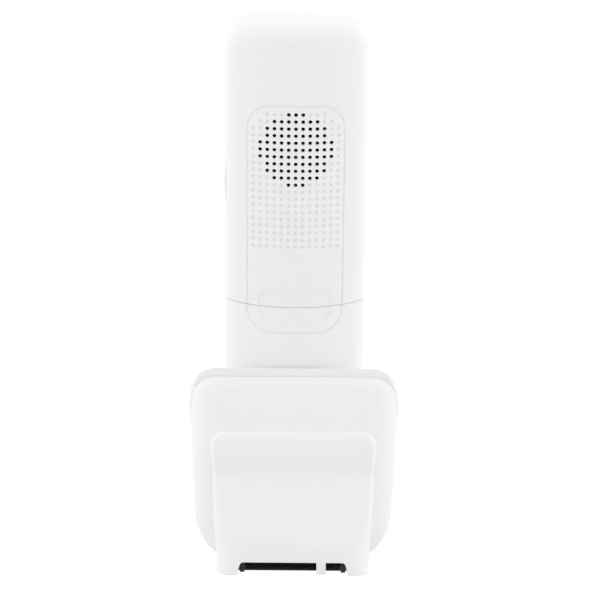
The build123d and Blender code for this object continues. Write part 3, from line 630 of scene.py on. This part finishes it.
# corners of the openings for the keys and for the rocker
KEY_ROOM_CORNER, ROCKER_ROOM_CORNER = 1.8, 1.9
# the slot over the earpiece: length, width and height on the face; the microphone's hole: radius, height
EARPIECE_SLOT, MICROPHONE_HOLE = (13.0, 2.2, 161.0), (0.6, 10.0)
# the steps of an inner form, which is hardly seen
INNER_STEPS = (4, 24, 8)


def handset_crown(handset, inset=0.0):
    """The handset's back as a crown: its centre depth, its radius, its axis and its middle."""
    return HANDSET_DEPTH / 2 - handset.crown_radius, handset.crown_radius - inset, 0, 0.0


def crown_at(x, handset, inset=0.0):
    """Depth of the crowned back at a distance across from its middle."""
    centre, radius, _, _ = handset_crown(handset, inset)
    return centre + sqrt(radius**2 - x**2)


def handset_form(name, handset, inset=0.0, steps=(7, 70, 16)):
    """The handset's closed outer form, drawn in by inset on every side."""
    corner = handset.corner_radius - inset
    loop = rim_loop(HANDSET_WIDTH / 2 - inset, inset, HANDSET_LENGTH - inset, corner, corner, steps)
    bevel = handset.front_edge * (1 - inset / 4)
    ball = handset.edge_radius - inset
    crown = handset_crown(handset, inset)
    return crowned_body(name, loop, inset - HANDSET_DEPTH / 2, bevel, crown, ball, HANDSET)


def crown_core(handset, inset):
    """Everything further in than inset under the crowned back, to keep out of shallow cuts."""
    half = HANDSET_WIDTH / 2
    top = [(x, crown_at(x, handset, inset)) for x in np.linspace(half, -half, 161)]
    return prism("core", [(-half, -FAR), (half, -FAR), *top], -FAR, FAR, HANDSET, axis=2)


def door_zone(handset, gap):
    """The battery door's room: deeper than its side seams and below its curved upper seam."""
    half = 1.5 * HANDSET_WIDTH
    rise = handset.door_rise / (0.45 * HANDSET_WIDTH) ** 2
    top = [(x, handset.door_top + gap + rise * x**2) for x in np.linspace(half, -half, 145)]
    return prism("door zone", [(-half, -FAR), (half, -FAR), *top], handset.door_side - gap, FAR, HANDSET)


def panel_line(handset, panel):
    """The groove round the textured panel, whose floor follows the crown."""
    def loop(grow):
        return rim_loop(
            panel.width / 2 + grow, panel.bottom - grow, panel.bottom + panel.height + grow,
            panel.bottom_radius + grow, panel.top_radius + grow, (10, 30, 16),
        )[0]

    outer, inner = loop(panel.line_width / 2), loop(-panel.line_width / 2)
    count = len(outer)
    verts, faces = [], []
    for points, level in ((outer, -panel.line_depth), (inner, -panel.line_depth), (inner, 1), (outer, 1)):
        verts += [(x, crown_at(x, handset) + level, z) for x, z in points]
    for a, b in ((0, 1), (1, 2), (2, 3), (3, 0)):
        faces += band(a * count, b * count, count)
    return make_object("panel line", verts, faces, HANDSET)


def thumb_recess(handset):
    """The shallow grip at the door's upper seam."""
    low, high = handset.recess_low, handset.recess_low + handset.recess_height
    outline = rounded_outline(handset.recess_width / 2, low, high, *RECESS_CORNERS)
    recess = prism("recess", outline, 0, HANDSET_DEPTH, HANDSET)
    return boolean(recess, crown_core(handset, handset.recess_depth))


def panel_places(panel):
    """Where the through holes and the dimples stand, as (x, z) in the handset's frame."""
    through, blind = [], []
    middle = panel.columns // 2
    for row in range(panel.rows):
        # the first rows are shorter, to follow the panel's upper corners
        reach = min(middle, middle - 2 + row)
        holes = GRILLE[row] if row < len(GRILLE) else -1
        for column in range(-reach, reach + 1):
            place = (column * panel.pitch, panel.first_row - row * panel.pitch)
            (through if abs(column) <= holes else blind).append(place)
    return through, blind


def pegs(name, places, radius, sides=16):
    """Round pegs through the handset's back, in one mesh."""
    turns = [2 * pi * (k + 0.5) / sides for k in range(sides)]
    verts, faces = [], []
    for x, z in places:
        first = len(verts)
        for level in (0, HANDSET_DEPTH):
            verts += [(x + radius * cos(t), level, z + radius * sin(t)) for t in turns]
        faces += stacked(sides, 2, first)
    return make_object(name, verts, faces, HANDSET)


def dimples(name, places, handset, panel, sides=10):
    """Shallow round bowls sunk square to the crowned back."""
    centre, crown_radius, _, _ = handset_crown(handset)
    verts, faces = [], []
    for x, z in places:
        first = len(verts)
        lean = np.arcsin(x / crown_radius)
        outwards = np.array([sin(lean), cos(lean), 0])
        sideways = np.array([cos(lean), -sin(lean), 0])
        middle = np.array([0, centre, z]) + crown_radius * outwards
        for share, level in BOWL:
            for k in range(sides):
                turn = 2 * pi * k / sides
                spoke = sideways * cos(turn) + np.array([0, 0, sin(turn)])
                reach = share * panel.dimple / 2 * spoke
                verts.append(middle + reach + level * panel.dimple_depth * outwards)
        verts.append(middle - panel.dimple_depth * outwards)
        faces += stacked(sides, len(BOWL), first, closed=False)
        last = first + (len(BOWL) - 1) * sides
        faces += [[last + k, last + (k + 1) % sides, len(verts) - 1] for k in range(sides)]
    return make_object(name, verts, faces, HANDSET)


def rocker_room(keys):
    """The opening for the volume rocker in the handset's side."""
    outline = room_outline(node_span("volume_rocker", SIDE), keys.gap, ROCKER_ROOM_CORNER, 8)
    return prism("rocker room", outline, HANDSET_WIDTH / 4, HANDSET_WIDTH, SIDE)


def rear_shells(handset, panel, keys):
    """The rear housing and the battery door, cut from one form."""
    form = handset_form("rear_shell", handset)
    boolean(form, handset_form("room", handset, handset.wall, INNER_STEPS))
    seam = handset.parting + handset.seam / 2
    boolean(form, box("front", (-FAR, -FAR, -FAR), (FAR, seam, FAR), HANDSET))
    boolean(form, panel_line(handset, panel))
    boolean(form, thumb_recess(handset))
    door = new_object("door_shell", form.data.copy())
    boolean(door, door_zone(handset, 0), "INTERSECT")
    boolean(form, door_zone(handset, handset.door_gap))
    through, blind = panel_places(panel)
    boolean(form, pegs("holes", through, panel.hole / 2))
    boolean(form, dimples("dimples", blind, handset, panel))
    boolean(form, rocker_room(keys))
    for piece in (form, door):
        crown_normals(piece, HANDSET, handset_crown(handset))
    finish_piece(form, "handset", "white_plastic", "handset_rear_housing")
    finish_piece(door, "door", "white_plastic", "battery_door")


def front_tool(name, outline):
    """A tool that cuts an outline through the front wall."""
    return prism(name, outline, HANDSET_DEPTH / 4, HANDSET_DEPTH, FACE)


def key_room(node, keys):
    """The opening for a key or for the window in the front wall."""
    return front_tool(node, room_outline(node_span(node, FACE), keys.gap, KEY_ROOM_CORNER, 4))


def front_shell(handset, keys):
    """The front housing with its openings for the keys, window, earpiece and microphone."""
    form = handset_form("front_shell", handset)
    boolean(form, handset_form("room", handset, handset.wall, INNER_STEPS))
    seam = handset.parting - handset.seam / 2
    boolean(form, box("rear", (-FAR, seam, -FAR), (FAR, FAR, FAR), HANDSET))
    for node in (*KEYS, "display_window"):
        boolean(form, key_room(node, keys))
    middle, half, _ = node_span("navigation_ring", FACE)
    boolean(form, front_tool("ring room", circle_outline(half[0] + keys.gap, middle[2], 64)))
    boolean(form, front_tool("earpiece slot", slot_outline(*EARPIECE_SLOT)))
    boolean(form, front_tool("microphone hole", circle_outline(*MICROPHONE_HOLE)))
    finish_piece(form, "handset", "white_plastic", "handset_front_housing")


class PHONE_OT_housings(bpy.types.Operator):
    """Builds the handset's housings and its battery door"""

    bl_idname = "phone.housings"
    bl_label = "Housings"

    def execute(self, context):
        scene = context.scene
        handset, panel = in_millimetres(scene.phone_handset), in_millimetres(scene.phone_panel)
        keys = in_millimetres(scene.phone_keys)
        rear_shells(handset, panel, keys)
        front_shell(handset, keys)
        return {"FINISHED"}


# ---------------------------------------------------------------- keys
# what is printed on the keys that carry no digit, with its size and its material
SYMBOLS = {
    "key_star": ("*", 8.0, "legend"), "key_hash": ("#", 4.8, "legend"),
    "soft_key_left": ("-", 6.0, "legend"), "soft_key_right": ("-", 6.0, "legend"),
    "talk_key": ("\u2706", 6.0, "white_plastic"), "off_key": ("\u23fb", 4.6, "white_plastic"),
}
LETTERS = {
    "key_2": "abc", "key_3": "def", "key_4": "ghi", "key_5": "jkl",
    "key_6": "mno", "key_7": "pqrs", "key_8": "tuv", "key_9": "wxyz",
}
ARROWS = {
    "up": ("\u25b2", 0, 1), "down": ("\u25bc", 0, -1),
    "left": ("\u25c0", -1, 0), "right": ("\u25b6", 1, 0),
}
# how far a digit and the letters beside it stand off the key's middle, to the right and upwards
DIGIT_SHIFT, LETTERS_SHIFT = (-2.3, 0.0), (2.2, -0.2)
# crown radii that pass for flat on the ring and on the window
RING_CROWN, WINDOW_CROWN = 4000.0, 400.0
# where the caps end inside the handset, from its mid-depth, and the bevel round that end
CAP_FOOT, RING_FOOT, CENTRE_FOOT, CAP_BEVEL = 11.2, 11.1, 10.0, 0.1
# the window's pane and the rocker: their depths, the pane's upper edge and the rocker's corners
WINDOW_DEPTH, WINDOW_EDGE, ROCKER_DEPTH, ROCKER_CORNER = 1.0, 0.3, 2.8, 1.6
# the rolled upper edges of the ring and of the key in its middle
RING_EDGE, CENTRE_EDGE = 0.8, 0.6
# half the thickness of the print
INK = 0.03
ARROW_SIZE = 2.2


def legend(name, text, size, middle, crown_radius, top, offset=(0.0, 0.0)):
    """A printed character, laid on a key's crowned cap, offset to the right and upwards."""
    curve = bpy.data.curves.new(name, "FONT")
    curve.body = text
    curve.size = size
    curve.align_x = "CENTER"
    curve.align_y = "CENTER"
    curve.extrude = INK
    curve.resolution_u = 4
    maker = new_object(name, curve)
    mesh = baked(maker)
    bpy.data.objects.remove(maker)
    for vertex in mesh.vertices:
        x, y, z = vertex.co[0] + offset[0], vertex.co[1] + offset[1], vertex.co[2]
        drop = crown_radius - sqrt(crown_radius**2 - x**2)
        # the front's own frame counts x to the left as the keys are read
        vertex.co = (middle[0] - x, top - drop + z, y + middle[2])
    mesh.transform(FACE)
    with edited(mesh) as shell:
        bmesh.ops.remove_doubles(shell, verts=shell.verts, dist=1e-7)
        bmesh.ops.recalc_face_normals(shell, faces=shell.faces)
    return new_object(name, mesh)


def cap_form(name, span, place, corner, steps, depth, crown, edge):
    """A crowned cap over a node's span, as deep as stated; crown is its radius and its axis."""
    middle, half, top = span
    radius, curved = crown
    loop = rim_loop(half[0], -half[2], half[2], corner, corner, steps)
    spot = place @ Matrix.Translation((middle[0], 0, middle[2]))
    return crowned_body(
        name, loop, top - depth, CAP_BEVEL, (top - radius, radius, curved, 0.0), edge, spot)


def build_keys(keys):
    """The keys' caps, and what is printed on them."""
    slots = slots_of_nodes()
    for key in KEYS:
        span = node_span(key, FACE)
        middle, _, top = span
        body, slot = key + "_body", slots[key]
        crown = (keys.crown_radius, 0)
        cap = cap_form(
            key + "_cap", span, FACE, keys.corner, (4, 10, 8), top - CAP_FOOT, crown, keys.edge
        )
        finish_piece(cap, body, slot, key)
        text, size, shade_name = SYMBOLS.get(key, (key[-1], keys.digit, "legend"))
        shift = DIGIT_SHIFT if key in LETTERS else (0.0, 0.0)
        mark = legend(key + "_mark", text, size, middle, keys.crown_radius, top, shift)
        finish_piece(mark, body, slot, material_name=shade_name)
        if key in LETTERS:
            mark = legend(
                key + "_letters", LETTERS[key], keys.letter, middle, keys.crown_radius, top, LETTERS_SHIFT
            )
            finish_piece(mark, body, slot, material_name="legend")


def build_ring(keys):
    """The ring with its four arrows, and the key in its middle."""
    middle, half, top = node_span("navigation_ring", FACE)
    place = FACE @ Matrix.Translation((middle[0], 0, middle[2]))
    inner, outer, edge = keys.ring_hole / 2, half[0], RING_EDGE
    profile = [(inner, RING_FOOT), (outer, RING_FOOT)]
    profile += arc(outer - edge, top - edge, edge, 0, pi / 2, 6)
    profile += arc(inner + edge, top - edge, edge, pi / 2, pi, 6)
    ring = turned("ring", profile, place)
    finish_piece(ring, "ring", "grey_plastic", "navigation_ring")
    reach = (inner + outer) / 2
    for name, (text, across, up) in ARROWS.items():
        offset = (across * reach, up * reach)
        mark = legend(f"ring_{name}_mark", text, ARROW_SIZE, middle, RING_CROWN, top, offset)
        finish_piece(mark, "ring", "grey_plastic", material_name="legend")

    _, half, top = node_span("centre_key", FACE)
    axis, outer, edge = 0.001, half[0], CENTRE_EDGE
    profile = [(axis, CENTRE_FOOT), (outer, CENTRE_FOOT)]
    profile += [*arc(outer - edge, top - edge, edge, 0, pi / 2, 6), (axis, top)]
    centre = turned("centre", profile, place)
    finish_piece(centre, "centre", "grey_plastic", "centre_key")


def build_window(keys):
    span = node_span("display_window", FACE)
    crown = (WINDOW_CROWN, 0)
    window = cap_form(
        "window_pane", span, FACE, keys.corner, (4, 12, 12), WINDOW_DEPTH, crown, WINDOW_EDGE
    )
    finish_piece(window, "handset", "window", "display_window")


def build_rocker(keys):
    span = node_span("volume_rocker", SIDE)
    crown = (keys.rocker_crown, 1)
    rocker = cap_form("rocker", span, SIDE, ROCKER_CORNER, (5, 16, 6), ROCKER_DEPTH, crown, keys.edge)
    finish_piece(rocker, "rocker", "white_plastic", "volume_rocker")


class PHONE_OT_keys(bpy.types.Operator):
    """Builds the keys with their characters, the ring, the window and the volume rocker"""

    bl_idname = "phone.keys"
    bl_label = "Keys"

    def execute(self, context):
        keys = in_millimetres(context.scene.phone_keys)
        build_keys(keys)
        build_ring(keys)
        build_window(keys)
        build_rocker(keys)
        return {"FINISHED"}


# ---------------------------------------------------------------- base
# where the cord notch's sides end, half its width and a height under the table
NOTCH_FOOT = (20.4, -5)
# how far the notch's sides lean, as an angle at which its upper corners begin
NOTCH_LEAN = 0.25
# the tab beside the cords: its lowest and its highest corner, from under the seat
TAB = ((-11.4, 36.6, 0.6), (-8.2, 38.6, 6.0))
# the pod's flat front and its bevel, which are cut away
POD_FRONT, POD_BEVEL = -60, 0.5
# how far the foot's back leans forwards from the overhang up to its top
TOP_LEAN = 0.9
# where the upright edges' radius begins to grow downwards, and how suddenly
HEEL_HIGH, HEEL_CURVE = 31.5, 2.5


def pod_crown(base, inset=0.0):
    """The bowed back as a crown: its centre depth, its radius, its axis and its middle."""
    return base.back - base.bow_radius, base.bow_radius - inset, 1, base.bow_height


def pod_form(name, base, inset=0.0, steps=(9, 30, 40)):
    """The pod's closed outer form, drawn in by inset."""
    loop = rim_loop(
        base.width / 2 - inset, base.bottom + inset, base.top - inset,
        base.bottom_radius - inset, base.top_radius - inset, steps, base.draft,
    )
    ball = base.edge_radius - inset
    return crowned_body(name, loop, POD_FRONT, POD_BEVEL, pod_crown(base, inset), ball, TABLE)


def foot_back_at(z, foot):
    """How far back the foot's waisted back stands at a height."""
    bend, waist, overhang = foot.waist_bend, foot.waist_height, foot.overhang_height
    lean = (foot.waist_back - foot.step_back) / (waist - foot.step_height)
    bow = (foot.overhang_back - foot.waist_back) / (overhang - waist) ** 2
    if z <= foot.step_height:
        return foot.step_back
    if z <= waist - bend:
        return foot.step_back + lean * (z - foot.step_height)
    if z <= waist + bend:
        # the waist's small inner radius joins the two faces
        first, last = foot_back_at(waist - bend, foot), foot_back_at(waist + bend + 1e-9, foot)
        t = (z - waist + bend) / (2 * bend)
        return (1 - t) ** 2 * first + 2 * t * (1 - t) * foot.waist_back + t**2 * last
    if z <= overhang:
        return foot.overhang_back - bow * (overhang - z) ** 2
    return foot.overhang_back - TOP_LEAN * ((z - overhang) / (foot.height - overhang)) ** 2


def foot_form(name, foot, corner, low, inset=0.0, heel=0.0):
    """The foot in level sections: it narrows downwards and its back is waisted.

    heel is how much the upright edges' radius grows down to the step.
    """
    high, shoulder = foot.height - inset, foot.shoulder
    rise = [high - shoulder + shoulder * sin(t) for t in np.linspace(0, pi / 2, 9)]
    step = foot.step_height
    heights = [low, step - 0.2, step, *np.linspace(step + 1, high - shoulder - 0.4, 44), *rise]
    verts = []
    for z in heights:
        half = (foot.low_width + (foot.high_width - foot.low_width) * z / foot.height) / 2 - inset
        if z > high - shoulder:
            half -= shoulder - sqrt(max(shoulder**2 - (z - high + shoulder) ** 2, 0))
        drop = (HEEL_HIGH - z) / (HEEL_HIGH - step)
        radius = corner + heel * min(max(drop, 0), 1) ** HEEL_CURVE
        x, y = half - radius, foot_back_at(z, foot) - inset - radius
        outline = [(-half, 0), (half, 0), *arc(x, y, radius, 0, pi / 2, 9)]
        outline += arc(-x, y, radius, pi / 2, pi, 9)
        verts += [(across, back, z) for across, back in outline]
    return make_object(name, verts, stacked(len(outline), len(heights)), TABLE, 20)


def cord_notch(foot):
    """The tool for the cord notch: sides that lean, and rounded upper corners."""
    corner = foot.notch_corner
    x, z = foot.notch_width / 2 - corner, foot.notch_height - corner
    half, low = NOTCH_FOOT
    outline = [(-half, low), (half, low), *arc(x, z, corner, NOTCH_LEAN, pi / 2, 7)]
    outline += arc(-x, z, corner, pi / 2, pi - NOTCH_LEAN, 7)
    return prism("notch", outline, 10, 60, TABLE)


def rear_cover(base, foot):
    """The rear cover: the pod's bowed back, the waisted foot under it and the cord notch."""
    cover = pod_form("cover_shell", base)
    boolean(cover, box("floor", (-FAR, -FAR, -FAR), (FAR, FAR, base.cover_bottom), TABLE))
    boolean(cover, foot_form("foot", foot, foot.corner, 0.1, heel=foot.heel), "UNION", 30)
    boolean(cover, pod_form("pod room", base, base.wall, (4, 12, 12)), smooth=30)
    boolean(cover, foot_form("foot room", foot, 1.0, -5, base.wall), smooth=30)
    boolean(cover, cord_notch(foot), smooth=30)
    boolean(cover, box("front", (-FAR, -FAR, -FAR), (FAR, base.seam_depth, FAR), HANDSET), smooth=30)
    boolean(cover, box("tab", *TAB, TABLE), "UNION", 30)
    crown_normals(cover, TABLE, pod_crown(base))
    finish_piece(cover, "base", "white_plastic", "base_rear_cover")


def front_cradle():
    """The CAD's own front shell, smoothed between its real edges."""
    mesh = frame["nodes"]["base_front_housing"].data.copy()
    with edited(mesh) as shell:
        bmesh.ops.remove_doubles(shell, verts=shell.verts, dist=1e-6)
        bmesh.ops.dissolve_limit(shell, angle_limit=radians(0.5), verts=shell.verts, edges=shell.edges)
    shade(mesh, 28)
    piece = new_object("cradle_shell", mesh)
    weighted = piece.modifiers.new("normals", "WEIGHTED_NORMAL")
    weighted.keep_sharp = True
    weighted.weight = 80
    finish_piece(piece, "base", "white_plastic", "base_front_housing")


class PHONE_OT_base(bpy.types.Operator):
    """Builds the base's front cradle and its rear cover"""

    bl_idname = "phone.base"
    bl_label = "Base"

    def execute(self, context):
        scene = context.scene
        rear_cover(in_millimetres(scene.phone_base), in_millimetres(scene.phone_foot))
        front_cradle()
        return {"FINISHED"}


# ---------------------------------------------------------------- stage
# the lights: name, size, setting that holds the power, place and aim, in metres
LIGHTS = (
    ("Top light", (1.2, 1.2), "top_light", (0, 0.2, 1.5), (0, 0, 0.08)),
    ("Left light", (0.8, 1.2), "side_light", (1.2, 0.5, 0.5), (0, 0, 0.09)),
    ("Right light", (0.8, 1.2), "side_light", (-1.2, 0.5, 0.5), (0, 0, 0.09)),
)
# patches of the floor that don't glow as the rest does, painted shade under the base and painted light under the
# cord notch:
# half width, front and back from the seat, and what they glow
SHADE_PAINTED_UNDER_BASE = (24.0, -8.0, 24.2, 0.0)
LIGHT_PAINTED_UNDER_NOTCH = (20.5, 24.2, 40.0, 1.0)


def maths(tree, operation, *values):
    """A math node's result, from numbers and other nodes' sockets."""
    node = add_node(tree, "Math")
    node.operation = operation
    return fill(tree, node, dict(enumerate(values))).outputs["Value"]


def seen_rays(tree):
    """One for the rays that show the backdrop: to the camera, off gloss and through glass."""
    rays = add_node(tree, "LightPath").outputs
    kinds = maths(tree, "ADD", rays["Is Camera Ray"], rays["Is Glossy Ray"])
    return maths(tree, "MINIMUM", maths(tree, "ADD", kinds, rays["Is Transmission Ray"]), 1.0)


def tent_world(look):
    """A white tent, brightest beside the object and below its top, before a plain white backdrop."""
    world = bpy.data.worlds.new("Tent")
    bpy.context.scene.world = world
    world.use_nodes = True
    tree = world.node_tree
    tree.nodes.clear()
    place = add_node(tree, "TexCoord").outputs["Generated"]
    towards = add_node(tree, "SeparateXYZ", {"Vector": place}).outputs
    lengthways = maths(tree, "ABSOLUTE", towards["Y"])
    fall = maths(tree, "MULTIPLY_ADD", towards["Z"], look.tent_fall, lengthways)
    brightness = add_node(tree, "MapRange", {
        "Value": fall, "From Min": 0.0, "From Max": 1.0, "To Min": look.tent, "To Max": look.tent_ends,
    })
    brightness.interpolation_type = "SMOOTHSTEP"
    white = (1, 1, 1, 1)
    tent = add_node(tree, "Background", {"Color": white, "Strength": brightness.outputs["Result"]})
    backdrop = add_node(tree, "Background", {"Color": white, "Strength": 1.0})
    mix = add_node(tree, "MixShader", {
        "Fac": seen_rays(tree), 1: tent.outputs["Background"], 2: backdrop.outputs["Background"],
    })
    add_node(tree, "OutputWorld", {"Surface": mix.outputs["Shader"]})


def floor_material(look):
    """A pale floor that glows where it is seen, with painted shade under the base, where it doesn't glow, and
    painted light under the cord notch, where it glows full white; it only scatters the light that falls on it.
    """
    made = bpy.data.materials.new("studio_floor")
    made.use_nodes = True
    tree = made.node_tree
    position = add_node(tree, "NewGeometry").outputs["Position"]
    spot = add_node(tree, "SeparateXYZ", {"Vector": position}).outputs
    glow = look.floor_glow
    # painted shade: no glow under the base; painted light: full white glow in the base's shadow under the cord
    # notch
    for half_width, front, back, painted_glow in (SHADE_PAINTED_UNDER_BASE, LIGHT_PAINTED_UNDER_NOTCH):
        middle = (SEAT.y + (front + back) / 2) * MM
        across = maths(tree, "COMPARE", spot["X"], 0.0, half_width * MM)
        lengthways = maths(tree, "COMPARE", spot["Y"], middle, (back - front) / 2 * MM)
        inside = maths(tree, "MULTIPLY", across, lengthways)
        glow = maths(tree, "MULTIPLY_ADD", inside, painted_glow - look.floor_glow, glow)
    fill(tree, tree.nodes["Principled BSDF"], {
        "Base Color": (*look.floor, 1), "Roughness": 0.9, "Specular IOR Level": 0.1,
        "Coat Weight": 0.0, "Sheen Weight": 0.0, "Emission Color": (1, 1, 1, 1),
        "Emission Strength": maths(tree, "MULTIPLY", seen_rays(tree), glow),
    })
    return made


def add_light(name, size, power, spot, aim):
    data = bpy.data.lights.new(name, "AREA")
    data.shape = "RECTANGLE"
    data.size, data.size_y = size
    data.energy = power
    made = new_object(name, data)
    made.location = spot
    made.rotation_euler = (Vector(aim) - Vector(spot)).to_track_quat("-Z", "Y").to_euler()


class PHONE_OT_stage(bpy.types.Operator):
    """Sets the tent, the floor, the lights and the camera"""

    bl_idname = "phone.stage"
    bl_label = "Stage"

    def execute(self, context):
        scene = context.scene
        look, stage = scene.phone_look, in_millimetres(scene.phone_stage)
        scene.view_settings.view_transform = "Standard"
        scene.view_settings.look = "None"
        tent_world(look)
        corners = [(-3, -3, 0), (3, -3, 0), (3, 3, 0), (-3, 3, 0)]
        floor = make_object("Floor", corners, [[0, 1, 2, 3]], Matrix.Identity(4))
        floor.data.materials.append(floor_material(look))
        for name, size, power, spot, aim in LIGHTS:
            add_light(name, size, getattr(look, power), spot, aim)

        data = bpy.data.cameras.new("Camera")
        data.lens = stage.lens
        data.shift_x = stage.shift_x
        data.shift_y = stage.shift_y
        camera = new_object("Camera", data)
        camera.location = (0, (SEAT.y + stage.distance) * MM, stage.height * MM)
        camera.rotation_euler = (radians(90), -stage.roll, radians(180))
        scene.camera = camera
        return {"FINISHED"}


class PHONE_PT_sidebar(bpy.types.Panel):
    """Lists the settings and the steps that build and dress the phone"""

    bl_idname = "PHONE_PT_sidebar"
    bl_label = "Cordless phone"
    bl_space_type = "VIEW_3D"
    bl_region_type = "UI"
    bl_category = "Phone"

    def draw(self, context):
        for name in GROUPS:
            group = getattr(context.scene, name)
            column = self.layout.column()
            for prop in own_properties(group):
                column.prop(group, prop.identifier)
        for operator in OPERATORS:
            self.layout.operator(operator.bl_idname)


GROUPS = {
    "phone_handset": HandsetSettings,
    "phone_panel": PanelSettings,
    "phone_keys": KeySettings,
    "phone_base": BaseSettings,
    "phone_foot": FootSettings,
    "phone_look": LookSettings,
    "phone_stage": StageSettings,
}
OPERATORS = (PHONE_OT_finishes, PHONE_OT_housings, PHONE_OT_keys, PHONE_OT_base, PHONE_OT_stage)


def register():
    for name, group in GROUPS.items():
        bpy.utils.register_class(group)
        setattr(bpy.types.Scene, name, PointerProperty(type=group))
    for operator in OPERATORS:
        bpy.utils.register_class(operator)
    bpy.utils.register_class(PHONE_PT_sidebar)


def unregister():
    bpy.utils.unregister_class(PHONE_PT_sidebar)
    for operator in reversed(OPERATORS):
        bpy.utils.unregister_class(operator)
    for name, group in GROUPS.items():
        delattr(bpy.types.Scene, name)
        bpy.utils.unregister_class(group)


def main():
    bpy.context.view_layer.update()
    register()
    bpy.ops.phone.finishes()
    bpy.ops.phone.housings()
    bpy.ops.phone.keys()
    bpy.ops.phone.base()
    bpy.ops.phone.stage()


if __name__ == "__main__":
    main()
